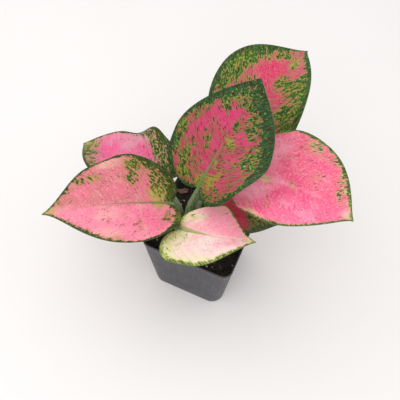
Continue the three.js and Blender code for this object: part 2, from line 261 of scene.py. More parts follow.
# The mix meets the wall at its top, a hair inside it, and its flat sides stand off
# the wall and the floor at its foot. Its corners end inside the wall's thickness.
WALL_OVERLAP = 0.05
WALL_GAP = 0.4
FLOOR_GAP = 0.1


def soil_height(x, y):
    """The mix's smooth top, in mm."""
    away = math.hypot(x - CANE_X, y - CANE_Y) / HOLLOW_RADIUS
    hollow = HOLLOW_DEPTH * math.exp(-away ** 4)
    waves = math.sin(x * 0.31 + 1) * math.cos(y * 0.27) + 0.5 * math.sin(x * 0.7 - y * 0.6)
    return SOIL_TOP - hollow + SOIL_LUMP * waves * (1 - hollow / HOLLOW_DEPTH) / 1.5


def crumbly_height(x, y):
    """The same top with its crumbs, from about 1 to 5 mm across."""
    coarse = noise.noise(Vector((x / 5.0, y / 5.0, 2.0)))
    middle = noise.noise(Vector((x / 2.2, y / 2.2, 7.0)))
    fine = noise.noise(Vector((x / 0.9, y / 0.9, 11.0)))
    return soil_height(x, y) + 0.9 * coarse + 0.6 * abs(middle) + 0.3 * fine


def in_pot(x, y, z):
    """Pushes a point of a square grid, from -1 to 1, into the pot's round-cornered inside."""
    half, radius = pot_section(z, POT_WALL - WALL_OVERLAP)
    share = max(abs(x), abs(y))
    if share == 0:
        return 0.0, 0.0
    px, py = x / share * half, y / share * half
    over_x, over_y = abs(px) - (half - radius), abs(py) - (half - radius)
    if over_x > 0 and over_y > 0:
        pull = radius / math.hypot(over_x, over_y)
        px = math.copysign(half - radius + over_x * pull, px)
        py = math.copysign(half - radius + over_y * pull, py)
    return px * share, py * share


soil_bm = bmesh.new()
bmesh.ops.create_grid(soil_bm, x_segments=SOIL_CELLS, y_segments=SOIL_CELLS, size=1.0)
for v in soil_bm.verts:
    x, y = in_pot(v.co.x, v.co.y, SOIL_TOP)
    v.co = Vector((x, y, crumbly_height(x, y))) * MM
edge = [e for e in soil_bm.edges if e.is_boundary]
skirt = bmesh.ops.extrude_edge_only(soil_bm, edges=edge)["geom"]
shrink = (POT_BASE / 2 - POT_WALL - WALL_GAP) / pot_section(SOIL_TOP, POT_WALL)[0]
for v in [g for g in skirt if isinstance(g, bmesh.types.BMVert)]:
    v.co = Vector((v.co.x * shrink, v.co.y * shrink, (POT_FLOOR + FLOOR_GAP) * MM))
bmesh.ops.holes_fill(soil_bm, edges=[e for e in soil_bm.edges if e.is_boundary], sides=0)
bmesh.ops.recalc_face_normals(soil_bm, faces=soil_bm.faces)


def potting_peat():
    """Damp peat: near black, matt, crumbly, with brown fibre showing here and there."""
    material, tree = new_material("damp_peat")
    place = add_node(tree, "ShaderNodeTexCoord", {}, out=3)
    crumb = add_node(tree, "ShaderNodeTexNoise",
                     {"Vector": place, "Scale": 1 / 0.0018, "Detail": 6.0, "Roughness": 0.65})
    patch = add_node(tree, "ShaderNodeTexNoise", {"Vector": place, "Scale": 1 / 0.009, "Detail": 2.0})
    damp = tinted(tree, linear("#15110F"), patch, 0.35, 0.65, linear("#2A211B"))
    colour = tinted(tree, damp, crumb, 0.60, 0.72, linear("#54402F"))
    bump = add_node(tree, "ShaderNodeBump", {"Height": crumb, "Strength": 0.8, "Distance": 0.0008})
    shader = add_node(tree, "ShaderNodeBsdfPrincipled",
                      {"Base Color": colour, "Roughness": 0.85, "Normal": bump})
    add_node(tree, "ShaderNodeOutputMaterial", {0: shader})
    return material


peat = potting_peat()
add_piece("potting_mix_fill", soil_bm, [peat], ["potting_mix"])


# What lies on the mix keeps that many mm from the cane's middle, and within that
# share of the way to the pot's wall. Turns are in radians.
CLEAR_OF_CANE = 9.5
WITHIN_WALL = 0.97
ANY_TURN = (0, 6.28)


def scatter(count, seed):
    """Places on the mix's top, in mm, each with the source of its piece's random draws."""
    rng = random.Random(seed)
    places = []
    while len(places) < count:
        across, lengthwise = [rng.uniform(-WITHIN_WALL, WITHIN_WALL) for _ in range(2)]
        x, y = in_pot(across, lengthwise, SOIL_TOP)
        if math.hypot(x - CANE_X, y - CANE_Y) > CLEAR_OF_CANE:
            places.append((x, y, rng))
    return places


def lumps(places, low, high, flat=0.7, sink=0.25):
    """Small uneven grains sunk a little into the mix's top, as one mesh."""
    bm = bmesh.new()
    for x, y, rng in places:
        size = rng.uniform(low, high)
        rest = crumbly_height(x, y) + size * (flat - sink) * 0.5
        turn = Matrix.Rotation(rng.uniform(*ANY_TURN), 4, (rng.random(), rng.random(), 1))
        at = Matrix.Translation(Vector((x, y, rest)) * MM) @ turn
        made = bmesh.ops.create_icosphere(bm, subdivisions=1, radius=size / 2 * MM)
        for v in made["verts"]:
            uneven = rng.uniform(0.72, 1.15)
            v.co = at @ Vector((v.co.x * uneven, v.co.y * uneven * 0.85, v.co.z * uneven * flat))
    return bm


add_piece("peat_crumbs", lumps(scatter(900, 3), 0.8, 2.4), [peat])


def perlite_grain():
    """Perlite: puffed volcanic glass, off-white and chalky, dusted with peat."""
    material, tree = new_material("perlite")
    place = add_node(tree, "ShaderNodeTexCoord", {}, out=3)
    dust = add_node(tree, "ShaderNodeTexNoise", {"Vector": place, "Scale": 1 / 0.0009, "Detail": 4.0})
    colour = tinted(tree, linear("#D9CDB8"), dust, 0.45, 0.7, linear("#6E5A48"), most=0.8)
    bump = add_node(tree, "ShaderNodeBump", {"Height": dust, "Strength": 0.5, "Distance": 0.0003})
    shader = add_node(tree, "ShaderNodeBsdfPrincipled",
                      {"Base Color": colour, "Roughness": 0.9, "Normal": bump})
    add_node(tree, "ShaderNodeOutputMaterial", {0: shader})
    return material


perlite_places = scatter(34, 8)
# Three more grains lie near the front wall, where no leaf hides them.
front_rng = random.Random(8)
perlite_places += [(x, y, front_rng) for x, y in [(-29.0, -25.0), (20.6, -28.0), (16.5, -29.5)]]
perlite_bm = lumps(perlite_places, 1.1, 2.3, flat=0.8, sink=0.1)
add_piece("perlite_grains", perlite_bm, [perlite_grain()])


def flakes(places, low, high):
    """Thin chips lying at small tilts on the mix, as one mesh."""
    bm = bmesh.new()
    for x, y, rng in places:
        length = rng.uniform(low, high)
        size = Vector((length, length * rng.uniform(0.3, 0.6), rng.uniform(0.5, 0.9)))
        at = (Matrix.Translation(Vector((x, y, crumbly_height(x, y) + size.z * 0.6)) * MM)
              @ Matrix.Rotation(rng.uniform(*ANY_TURN), 4, "Z")
              @ Matrix.Rotation(rng.uniform(-0.3, 0.3), 4, "X")
              @ Matrix.Rotation(rng.uniform(-0.25, 0.25), 4, "Y"))
        made = bmesh.ops.create_cube(bm, size=MM)
        for v in made["verts"]:
            ragged = rng.uniform(0.7, 1.2)
            v.co = at @ Vector((v.co.x * size.x * ragged, v.co.y * size.y * ragged, v.co.z * size.z))
    bmesh.ops.bevel(bm, geom=bm.edges[:], offset=0.12 * MM, affect="EDGES", segments=1,
                    profile=0.5, material=-1)
    return bm


# How far the grain of the larger flake is turned from the X axis.
GRAIN_TURN = math.radians(28)


def dead_bark(name, light, dark, grain_mm):
    """Dead conifer bark or root fibre: brown, fibrous along its length, matt and cracked."""
    material, tree = new_material(name)
    place = add_node(tree, "ShaderNodeTexCoord", {}, out=3)
    turned = add_node(tree, "ShaderNodeMapping",
                      {"Vector": place, "Rotation": (0.0, 0.0, -GRAIN_TURN),
                       "Scale": (0.22, 1.0, 1.0)})
    grain = add_node(tree, "ShaderNodeTexNoise",
                     {"Vector": turned, "Scale": 1000 / grain_mm, "Detail": 5.0, "Roughness": 0.6})
    colour = tinted(tree, linear(dark), grain, 0.36, 0.62, linear(light))
    bump = add_node(tree, "ShaderNodeBump", {"Height": grain, "Strength": 0.8, "Distance": 0.0005})
    shader = add_node(tree, "ShaderNodeBsdfPrincipled",
                      {"Base Color": colour, "Roughness": 0.8, "Normal": bump})
    add_node(tree, "ShaderNodeOutputMaterial", {0: shader})
    return material


add_piece("bark_bits", flakes(scatter(46, 5), 2.0, 5.0),
          [dead_bark("composted_bark", "#6B4A36", "#2A1B13", 0.7)], smooth=False)

# Loose root hairs and peat fibres lie across the top. One that has less room than
# SHORTEST_FIBRE before the wall is left out.
FIBRE_STEPS = 8
FIBRE_RADIUS = 0.16
FIBRE_LIFT = 0.3
FIBRE_LIMIT = 34
SHORTEST_FIBRE = 3


def peat_fibre(x, y, heading, bend, reach):
    """One fibre that follows the mix's crumbs from a place on its top, in mm."""
    centre = []
    end = Vector((x, y, 0))
    for i in range(FIBRE_STEPS + 1):
        angle = heading + bend * i
        end = end + Vector((math.cos(angle), math.sin(angle), 0)) * reach / FIBRE_STEPS
        centre.append(end)

    def place(t, turn):
        at = centre[round(t * FIBRE_STEPS)]
        aside = FIBRE_RADIUS * math.cos(math.tau * turn)
        z = crumbly_height(at.x, at.y) + FIBRE_LIFT + FIBRE_RADIUS * math.sin(math.tau * turn)
        return at.x + aside * math.sin(heading), at.y - aside * math.cos(heading), z

    return swept_skin(place, FIBRE_STEPS, sides=5)


fibre_bm = bmesh.new()
for x, y, rng in scatter(26, 12):
    heading = rng.uniform(*ANY_TURN)
    length = rng.uniform(5, 13)
    bend = rng.uniform(-0.12, 0.12)
    reach = min(length, FIBRE_LIMIT - max(abs(x), abs(y)))
    if reach < SHORTEST_FIBRE:
        continue
    strand_bm = peat_fibre(x, y, heading, bend, reach)
    strand = bpy.data.meshes.new("strand")
    strand_bm.to_mesh(strand)
    strand_bm.free()
    fibre_bm.from_mesh(strand)
    bpy.data.meshes.remove(strand)
add_piece("peat_fibres", fibre_bm, [dead_bark("peat_fibre", "#8A6A4B", "#4A3424", 0.5)])


def slab(columns, rows):
    """A closed slab to be shaped: a grid from -1 to 1 each way, and its double one unit above."""
    bm = bmesh.new()
    bmesh.ops.create_grid(bm, x_segments=columns, y_segments=rows, size=1.0)
    grown = bmesh.ops.extrude_face_region(bm, geom=bm.faces[:], use_keep_orig=True)["geom"]
    raised = [g for g in grown if isinstance(g, bmesh.types.BMVert)]
    bmesh.ops.translate(bm, verts=raised, vec=(0, 0, 1))
    bmesh.ops.recalc_face_normals(bm, faces=bm.faces)
    return bm


# The larger bark flake in the back left corner, ragged and grooved along its grain.
FLAKE_AT = (-30.5, 26.5)
FLAKE_TOP = 63.2
FLAKE_THICK = 1.4
HALF_LENGTH = 4.5
HALF_WIDTH = 2.3
flake_bm = slab(44, 24)
for v in flake_bm.verts:
    lengthwise, across, top = v.co
    x = HALF_LENGTH * lengthwise * (1 + 0.08 * math.sin(9 * across))
    y = HALF_WIDTH * across * (1 - 0.3 * lengthwise ** 2) + 0.25 * math.sin(5 * lengthwise)
    groove = 0.22 * math.sin(11 * across + 1.5 * lengthwise)
    groove += 0.15 * noise.noise(Vector((x, 4 * y, 3)))
    z = FLAKE_TOP + 0.04 * x * x - 0.05 * y * y + (groove if top > 0.5 else -FLAKE_THICK)
    v.co = Vector((FLAKE_AT[0] + x * math.cos(GRAIN_TURN) - y * math.sin(GRAIN_TURN),
                   FLAKE_AT[1] + x * math.sin(GRAIN_TURN) + y * math.cos(GRAIN_TURN), z)) * MM
add_piece("bark_flake", flake_bm, [dead_bark("conifer_bark", "#B58D7C", "#6B4638", 0.9)],
          ["bark_chip"])


# -------------------------------------------------------------- cane and roots
# The cane is the plant's fleshy green main stem, ringed where old leaves fell.
# Thick pale roots grow from its foot and hold it in the mix.

CANE_FOOT = 36.0
CANE_TOP = 68.0
CANE_RADIUS = 5.0
RING_SPACING = 6.5
RING_HEIGHT = 0.35
RING_WIDTH = 0.7


def cane_point(t, turn):
    """A point of the cane's skin, at share t of its height and a share of the turn round it."""
    z = lerp(CANE_FOOT, CANE_TOP, t)
    # The last tenth closes in a dome, and the lowest part of the foot in a cone.
    dome = math.sqrt(max(1 - max((t - 0.9) / 0.1, 0) ** 2, 0))
    foot = min(t / 0.03, 1)
    ring = RING_HEIGHT * math.exp(-((z % RING_SPACING - 3.2) / RING_WIDTH) ** 2)
    radius = (CANE_RADIUS - RING_HEIGHT + ring) * dome * foot
    angle = math.tau * turn
    radius *= 1 + 0.03 * math.cos(3 * angle + z)
    return CANE_X + radius * math.cos(angle), CANE_Y + radius * math.sin(angle), z


def fleshy_stem():
    """Living cane: waxy green skin with pale rings and brown leaf scars."""
    material, tree = new_material("fleshy_cane")
    place = add_node(tree, "ShaderNodeTexCoord", {}, out=3)
    bands = add_node(tree, "ShaderNodeMapping", {"Vector": place, "Scale": (0.15, 0.15, 1.0)})
    ring = add_node(tree, "ShaderNodeTexNoise", {"Vector": bands, "Scale": 1 / 0.002, "Detail": 3.0})
    colour = tinted(tree, linear("#5E7040"), ring, 0.5, 0.68, linear("#8A7A55"))
    bump = add_node(tree, "ShaderNodeBump", {"Height": ring, "Strength": 0.3, "Distance": 0.0004})
    shader = add_node(tree, "ShaderNodeBsdfPrincipled",
                      {"Base Color": colour, "Roughness": 0.5, "Normal": bump})
    add_node(tree, "ShaderNodeOutputMaterial", {0: shader})
    return material


cane_bm = swept_skin(cane_point, steps=90, sides=40)
add_piece("ringed_cane", cane_bm, [fleshy_stem()], ["cane"])


def root_skin():
    """Living aroid root: cream, waxy, stained by the peat round it."""
    material, tree = new_material("fleshy_root")
    place = add_node(tree, "ShaderNodeTexCoord", {}, out=3)
    stain = add_node(tree, "ShaderNodeTexNoise", {"Vector": place, "Scale": 1 / 0.002, "Detail": 5.0})
    colour = tinted(tree, linear("#DCD0AE"), stain, 0.45, 0.7, linear("#8C7450"))
    bump = add_node(tree, "ShaderNodeBump", {"Height": stain, "Strength": 0.3, "Distance": 0.0003})
    shader = add_node(tree, "ShaderNodeBsdfPrincipled",
                      {"Base Color": colour, "Roughness": 0.6, "Normal": bump})
    add_node(tree, "ShaderNodeOutputMaterial", {0: shader})
    return material


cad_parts["roots"].data.materials.clear()
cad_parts["roots"].data.materials.append(root_skin())


# --------------------------------------------------------------- leaf blades
# Broad heart-shaped blades, one thin waxy sheet each: pink where the tissue
# has no green in it, flecked and edged with green where it has. The midrib is
# a groove on the upper face and a keel below, and side veins run to the edge.
# Lengths are in mm and angles in degrees. Places on a blade are shares of its
# length and half width.

NOTCH = 2.2
NOTCH_DEPTH = 2
TIP = 0.4
RIPPLE_AT = (0.05, 0.3, 0.55, 0.8)
RIPPLE_SPREAD = 0.13
ROWS = 170
COLUMNS = 96

# junction: where the stalk ends. heading, pitch and roll: how the midrib runs, as two
# values from base to tip or three with the middle. What follows them is given for
# the left and the right half, seen from the stalk, or once for both.
# fold and curl: how a half rises beside the midrib and bends further out.
# spread, widest, lobe, fullness and taper: the shape of its outline.
# ripple: how far the margin swells up at each place of RIPPLE_AT.
# edge: how wide the green margin is along each half, as (share of length, mm).
# Zones of each tint are (along, across, length mm, width mm, strength): green
# where it is flecked, yellow where it is yellow-green, deep where the pink is
# strongest, and pale where the tissue is paler and where light is painted on:
# painted sheen on some blades, and painted light on the right blade's base,
# which the centre blade shades.
# pink: each half's ground colour, which hot, the pale tint and cast vary; the
# pale tint is also the colour of the painted sheen and light. greens: dark,
# middle and light. rib: half width in mm, and the share of the length it ends at.
# fleck and banded: how much green is scattered, and how much cast follows the veins.
LEAVES = {
    "left": dict(
        junction=(-25, -4, 90), length=98, half_width=36.5,
        heading=(218, 212), pitch=(23, 7, -16), roll=(4, 0), fold=(13, 21), curl=(-7, 7),
        spread=(1.03, 1.03), widest=(0.37, 0.39), lobe=(0.08, 0.12), fullness=(0.65, 0.74), taper=0.18,
        ripple=((1.5, -1.5, -1, 0), (1.5, 1.5, -4.5, 1.5)),
        edge=([(-0.05, 6), (0.05, 5), (0.1, 3), (0.2, 1.4), (0.35, 1.1), (0.45, 1.5), (0.6, 2.6),
               (0.68, 2.8), (0.8, 1.8), (0.9, 1.3), (1, 1)],
              [(-0.05, 9), (0.05, 7), (0.12, 5), (0.2, 4), (0.3, 2.6), (0.4, 1.6), (0.55, 1.3),
               (0.65, 1.5), (0.8, 1.8), (0.9, 1.6), (1, 1)]),
        green=[(0.05, -0.45, 4, 8, 0.85), (0.1, -0.65, 5, 5, 0.6), (0.11, -0.25, 5, 6, 0.55),
               (0.2, -0.62, 4, 4, 0.35), (0.2, -0.85, 8, 3.5, 0.65), (0.325, -0.8, 4, 3, 0.85),
               (0.27, -0.78, 2.5, 2.5, 0.6), (0.31, -0.6, 3, 2, 0.65), (0.3, -0.42, 3, 4, 0.5),
               (0.35, -0.52, 2, 2.5, 0.5), (0.17, -0.38, 3, 3, 0.4), (0.58, -0.55, 4, 3, 0.42),
               (0.61, -0.6, 2.5, 2, 0.5), (0.69, -0.53, 3.2, 2.4, 0.75), (0.79, -0.36, 3, 2, 0.7),
               (0.87, -0.15, 3, 2, 0.6), (0.1, 0.45, 3, 3, 0.55), (0.09, 0.6, 3, 3, 0.4),
               (0.06, 0.3, 2.5, 2.5, 0.4), (0.3, 0.65, 3, 4, 0.33), (0.52, 0.5, 1.6, 1.6, 0.4),
               (0.47, 0.9, 3, 2, 0.4), (0.5, -0.9, 10, 2, 0.3)],
        yellow=[(0.12, -0.18, 6, 5, 1.0), (0.12, 0.1, 4, 3, 0.9), (0.97, 0, 6, 4, 1.0),
                (0.0, 0.5, 5, 6, 0.9), (0.33, -0.82, 4, 3, 0.7), (0.6, -0.58, 4, 3, 0.5),
                (0.5, 0.9, 9, 3, 0.5)],
        deep=[(0.2, 0.5, 8, 9, 0.9), (0.32, 0.4, 7, 8, 0.5), (0.15, -0.45, 4, 3, 0.9),
              (0.2, -0.7, 4, 3, 0.9), (0.44, -0.36, 4, 3, 0.7), (0.66, -0.3, 6, 4, 0.5),
              (0.24, -0.3, 5, 4, 0.4)],
        # The first pale zone is painted sheen across the blade's middle.
        pale=[(0.5, 0.25, 10, 6, 0.5), (0.6, 0.78, 9, 3, 0.8), (0.5, -0.9, 11, 3, 0.8),
              (0.28, 0.35, 1.2, 14, 0.5), (0.9, 0, 5, 4, 0.5)],
        pink=("#F084A0", "#C86C76"), hot="#EA6A8E", pale_and_painted_light="#E8B4A6", cast="#B8735E",
        greens=("#213F14", "#3C5C20", "#A6A346"), rib=(1.5, 0.7), rib_colour="#787E4A", fleck=0.12,
        banded=0.16,
    ),
    "back_left": dict(
        junction=(-46, 15, 84), length=84.5, half_width=33,
        heading=(174, 168), pitch=(4, -5, -27), roll=(2, 8), fold=(15, 21), curl=(0, -9),
        spread=(0.97, 1.07), widest=(0.38, 0.36), lobe=(0.08, 0.26), fullness=(0.6, 0.5), taper=0.13,
        ripple=((0, 0, 0, 0), (6.5, 6.5, -7, -3)),
        edge=([(-0.05, 4), (0.3, 2.5), (0.5, 2), (0.6, 2.6), (0.8, 3), (1, 2.5)],
              [(-0.05, 8), (0.05, 7), (0.15, 6), (0.25, 4.5), (0.35, 3), (0.5, 3.5), (0.6, 2.2),
               (0.75, 1.6), (0.9, 2), (1, 2)]),
        green=[(0.6, 0.72, 3.5, 3, 0.6), (0.92, 0, 6, 5, 0.4), (0.82, -0.15, 5, 4, 0.4),
               (0.1, -0.6, 8, 8, 0.4), (0.2, -0.85, 9, 5, 0.8), (0.36, -0.88, 6, 3, 0.45),
               (0.48, -0.92, 6, 3, 0.6), (0.18, -0.68, 7, 4, 0.35), (0.03, -0.3, 5, 7, 0.45),
               (0.78, 0.4, 7, 5, 0.6), (0.3, 0.6, 12, 8, 0.3), (0.65, 0.66, 6, 5, 0.6),
               (0.72, 0.22, 4, 4, 0.4), (0.86, 0.2, 6, 5, 0.5), (-0.02, -0.6, 8, 8, 0.9)],
        yellow=[(0.95, 0.02, 8, 5, 0.8), (0.86, 0.28, 8, 5, 0.5), (0.75, 0.5, 7, 4, 0.4),
                (0.65, 0.68, 6, 4, 0.2), (0.88, -0.15, 5, 4, 0.4)],
        deep=[(0.66, -0.12, 7, 6, 1.0), (0.25, -0.48, 5, 4, 1.0), (0.62, 0.3, 6, 6, 0.6),
              (0.35, -0.5, 4, 3, 0.6), (0.3, 0.2, 12, 10, 0.5)],
        # The first two pale zones are painted sheen.
        pale=[(0.45, -0.36, 7, 5, 0.45), (0.36, -0.78, 8, 3.5, 0.7), (0.55, -0.75, 7, 3, 0.5)],
        pink=("#E2789A", "#DE7D9A"), hot="#E44F88", pale_and_painted_light="#CC9CA4", cast="#A8746A",
        greens=("#1F3A12", "#3B571C", "#98A038"), rib=(1.2, 0.5), rib_colour="#B0707C", fleck=0.12,
        banded=0.2,
    ),
    "centre": dict(
        junction=(-10.5, 10.5, 99.5), length=96, half_width=38,
        heading=(63, 68), pitch=(65, 54, 59), roll=(-11, -6), fold=(22, 12), curl=(11, -9),
        spread=(1, 1.11), widest=(0.35, 0.51), lobe=(0.1, 0.1), fullness=(0.72, 0.72), taper=0.05,
        ripple=((2.5, -1, -0.5, -0.5), (0.5, 4, -3.5, -2.5)),
        edge=([(-0.05, 2), (0.1, 3.5), (0.2, 4), (0.3, 2.6), (0.38, 3), (0.5, 2.6), (0.6, 4), (0.7, 5),
               (0.8, 5), (0.9, 4), (1, 4)],
              [(-0.05, 4), (0.1, 4), (0.25, 3), (0.35, 3.5), (0.45, 5), (0.55, 8), (0.65, 10), (0.75, 11),
               (0.85, 11), (0.95, 8), (1, 6)]),
        green=[(0.06, 0.45, 5, 5, 0.8), (0.22, 0.57, 6.5, 3, 0.8), (0.2, 0.3, 3, 3, 0.55),
               (0.7, 0.3, 3, 3, 0.7), (0.62, -0.07, 3.5, 3, 0.75), (0.43, 0.3, 2, 2, 0.6),
               (0.46, 0.42, 2, 2, 0.5), (0.36, -0.55, 2.5, 2, 0.4), (0.49, -0.66, 3, 3, 0.4),
               (0.35, 0.28, 2.5, 2.5, 0.5), (0.82, 0.35, 5, 6, 0.55), (0.88, 0.12, 5, 6, 0.6),
               (0.8, -0.05, 5, 5, 0.5), (0.87, -0.3, 6, 5, 0.7), (0.75, 0.52, 5, 4, 0.5),
               (0.72, -0.35, 6, 4, 0.6), (0.66, -0.5, 5, 4, 0.55), (0.5, -0.8, 6, 5, 0.65),
               (0.62, -0.82, 6, 4, 0.5), (0.1, 0.85, 10, 3, 0.65), (0.25, 0.87, 8, 3, 0.6),
               (0.02, -0.2, 6, 8, 0.45), (0.1, -0.5, 8, 6, 0.4), (0.25, -0.8, 12, 4, 0.35),
               (0.08, 0.1, 6, 4, 0.4), (0.55, 0.75, 8, 3, 0.35), (0.65, 0.65, 6, 3, 0.4),
               (0.42, -0.15, 5, 4, 0.25), (0.3, -0.25, 6, 6, 0.25), (0.5, -0.2, 3, 6, 0.35),
               (0.4, 0.85, 8, 3, 0.4)],
        yellow=[(0.07, 0.05, 6, 3, 0.9), (0.14, -0.22, 5, 4, 0.9), (0.25, -0.35, 5, 2.5, 0.7),
                (0.29, -0.1, 3, 2, 0.8), (0.5, -0.12, 2.5, 5, 1.0), (0.22, 0.57, 5, 2.5, 0.7),
                (0.06, 0.45, 4, 4, 0.7), (0.41, 0.93, 5, 2, 1.0), (0.7, -0.45, 5, 4, 0.4),
                (0.82, 0.1, 6, 6, 0.3)],
        deep=[(0.65, 0.4, 6, 5, 0.9), (0.68, 0.15, 6, 4, 0.9), (0.58, 0.12, 4, 4, 0.6),
              (0.4, 0.1, 5, 4, 0.8), (0.22, 0.12, 4, 4, 0.8), (0.48, 0.57, 4, 5, 0.8),
              (0.4, -0.4, 4, 5, 0.9), (0.22, -0.5, 4, 4, 0.9), (0.6, -0.45, 4, 6, 0.8),
              (0.58, -0.2, 3, 4, 0.8), (0.72, -0.1, 3, 5, 0.8), (0.4, -0.76, 3, 3, 0.6),
              (0.1, -0.3, 4, 4, 0.5), (0.35, 0.72, 6, 4, 0.5), (0.1, 0.16, 4, 3, 0.5)],
        pale=[],
        pink=("#B23654", "#A43C52"), hot="#D42C70", pale_and_painted_light="#B8706C", cast="#886242",
        greens=("#184828", "#2A6030", "#8F9E30"), rib=(2.2, 0.5), rib_colour="#628A50", fleck=0.3,
        banded=0.75,
    ),
    "back": dict(
        junction=(3.5, 62.5, 100), length=102.5, half_width=39.5,
        heading=(76, 71), pitch=(72, 32, -11), roll=(-1, -9), fold=(18, 16), curl=(8, 2),
        spread=(1.07, 1.03), widest=(0.45, 0.35), lobe=(0.1, 0.1), fullness=(0.62, 0.62), taper=0.15,
        ripple=((0, 0, 0, 1), (0, -1.5, 1.5, 0)),
        edge=([(-0.05, 4), (0.35, 4), (0.5, 3.5), (0.6, 4), (0.7, 6), (0.78, 6), (0.85, 3), (0.93, 1.5),
               (1, 1)],
              [(-0.05, 4), (0.35, 5), (0.5, 4), (0.6, 3), (0.7, 3.5), (0.8, 4), (0.9, 3.5), (1, 1.5)]),
        green=[(0.5, 0.87, 9, 5, 0.75), (0.6, 0.77, 8, 5, 0.7), (0.68, 0.62, 7, 4, 0.65),
               (0.38, 0.9, 6, 4, 0.5), (0.45, 0.65, 5, 4, 0.3), (0.74, 0.5, 5, 4, 0.6),
               (0.78, 0.25, 4, 4, 0.5), (0.83, 0.15, 4, 4, 0.5), (0.77, -0.08, 4, 3, 0.55),
               (0.6, -0.1, 5, 4, 0.55), (0.57, -0.35, 5, 7, 0.6), (0.62, -0.6, 7, 6, 0.65),
               (0.55, -0.82, 8, 4, 0.7), (0.4, -0.78, 7, 6, 0.8), (0.35, -0.92, 7, 4, 0.8),
               (0.44, -0.55, 3, 3, 0.4), (0.7, -0.55, 5, 4, 0.5), (0.3, -0.5, 9, 8, 0.5),
               (0.2, 0.6, 12, 10, 0.4), (0.5, 0.45, 3, 3, 0.5)],
        yellow=[(0.5, 0.85, 9, 4, 0.25), (0.6, 0.76, 8, 4, 0.3), (0.78, -0.1, 4, 3, 0.7),
                (0.86, -0.03, 5, 3, 0.4), (0.58, -0.45, 5, 8, 0.3), (0.65, -0.65, 6, 5, 0.25)],
        deep=[(0.62, 0.15, 8, 6, 1.0), (0.7, 0.05, 5, 4, 0.9), (0.71, 0.38, 4, 3, 0.7),
              (0.6, 0.32, 5, 4, 0.7), (0.48, -0.4, 4, 8, 0.7), (0.52, 0.25, 4, 5, 0.4),
              (0.69, -0.36, 3, 3, 0.7), (0.5, 0.6, 3, 3, 0.6), (0.2, 0, 14, 12, 0.7)],
        # The first pale zone is painted sheen on the green of the left half.
        pale=[(0.72, 0.55, 6, 4, 0.5), (0.8, -0.25, 7, 3, 0.4)],
        pink=("#C04660", "#B8485E"), hot="#D62C62", pale_and_painted_light="#C4908A", cast="#A07852",
        greens=("#1C4C1E", "#356524", "#93A52C"), rib=(1.0, 0.3), rib_colour="#C0566E", fleck=0.22,
        banded=0.6,
    ),
    "right": dict(
        junction=(23.5, 36, 104.5), length=86.5, half_width=38.5,
        heading=(-17, -4), pitch=(36, 11, -29), roll=(10, 11), fold=(30, 17), curl=(11, -1),
        spread=(1.03, 1.04), widest=(0.4, 0.36), lobe=(0.11, 0.11), fullness=(0.64, 0.64), taper=0.14,
        ripple=((0.5, 0.5, -2, 1), (0, 2.5, -2, 0)),
        edge=([(-0.05, 2), (0.15, 1.2), (0.3, 1.4), (0.45, 1.9), (0.55, 1.6), (0.65, 2), (0.75, 2.2),
               (0.85, 2.6), (0.92, 2), (1, 1.5)],
              [(-0.05, 1.2), (0.2, 0.9), (0.35, 1.3), (0.45, 1.7), (0.6, 1.7), (0.75, 1.4), (0.9, 1.2),
               (1, 1)]),
        green=[(0.48, 0.87, 4, 3, 0.6), (0.45, 0.72, 5, 1.6, 0.45), (0.53, 0.8, 2.5, 2.5, 0.5),
               (0.66, 0.75, 3, 3, 0.75), (0.6, 0.68, 2, 2, 0.3), (0.74, 0.55, 3, 5, 0.55),
               (0.79, 0.35, 3, 4, 0.6), (0.78, 0.2, 2.5, 2, 0.55), (0.55, 0.25, 4, 3, 0.33),
               (0.6, 0.38, 2, 2, 0.4), (0.84, 0.15, 2, 2, 0.4), (0.42, 0, 2.2, 1.8, 0.6),
               (0.28, 0.5, 5, 1.5, 0.3), (0.27, -0.3, 1.5, 3, 0.38), (0.33, -0.55, 1.3, 4, 0.42),
               (0.37, -0.7, 1.5, 3, 0.42), (0.16, -0.78, 2, 2, 0.55), (0.25, -0.75, 2, 2, 0.5),
               (0.28, -0.95, 4, 2, 0.5), (0.49, -0.9, 2.5, 2.5, 0.45)],
        yellow=[(0.15, 0, 4, 2.5, 0.9), (0.22, -0.05, 4, 2, 0.6), (0.97, 0, 5, 4, 0.9),
                (0.48, 0.87, 4, 3, 0.5), (0.3, -0.97, 6, 2, 0.6), (0.42, 0, 2.5, 2, 0.5),
                (0.9, 0.2, 5, 2, 0.5)],
        deep=[(0.33, -0.35, 5, 9, 0.7), (0.45, 0.12, 8, 8, 0.4), (0.62, 0.6, 5, 4, 0.7),
              (0.33, -0.82, 4, 5, 0.6), (0.62, -0.15, 8, 5, 0.4), (0.2, -0.2, 4, 5, 0.4)],
        # The third and fourth pale zones are painted light on the blade's base, which the centre blade
        # shades; the bright pale tint below serves them too.
        pale=[(0.3, 0.02, 9, 1.5, 0.6), (0.65, -0.52, 8, 4, 0.5), (0.18, -0.35, 7, 10, 1.1),
              (0.22, 0.6, 7, 9, 0.8), (0.6, 0.02, 9, 1.5, 0.3), (0.92, 0, 4, 4, 0.6)],
        pink=("#EA6886", "#EE6A90"), hot="#E4487A", pale_and_painted_light="#FFB4C8", cast="#D08474",
        greens=("#34531E", "#66803A", "#C6C98A"), rib=(1.0, 0.45), rib_colour="#E29AA0", fleck=0.05,
        banded=0.08,
    ),
    "front": dict(
        junction=(-12, -21, 88.5), length=60, half_width=31.5,
        heading=(-3, 19), pitch=(17, 11, -6), roll=(-11, -18), fold=(7, 10), curl=(-6, -9),
        spread=(0.97, 1.14), widest=(0.41, 0.29), lobe=(0.12, 0.11), fullness=(0.82, 0.66), taper=0.2,
        ripple=((-1.5, -1.5, 2.5, -0.5), (-1.5, 1.5, -1, 1)),
        edge=([(-0.05, 1.6), (0.1, 0.9), (0.3, 0.8), (0.5, 1), (0.6, 1.7), (0.7, 1.4), (0.85, 1.4),
               (1, 1.6)],
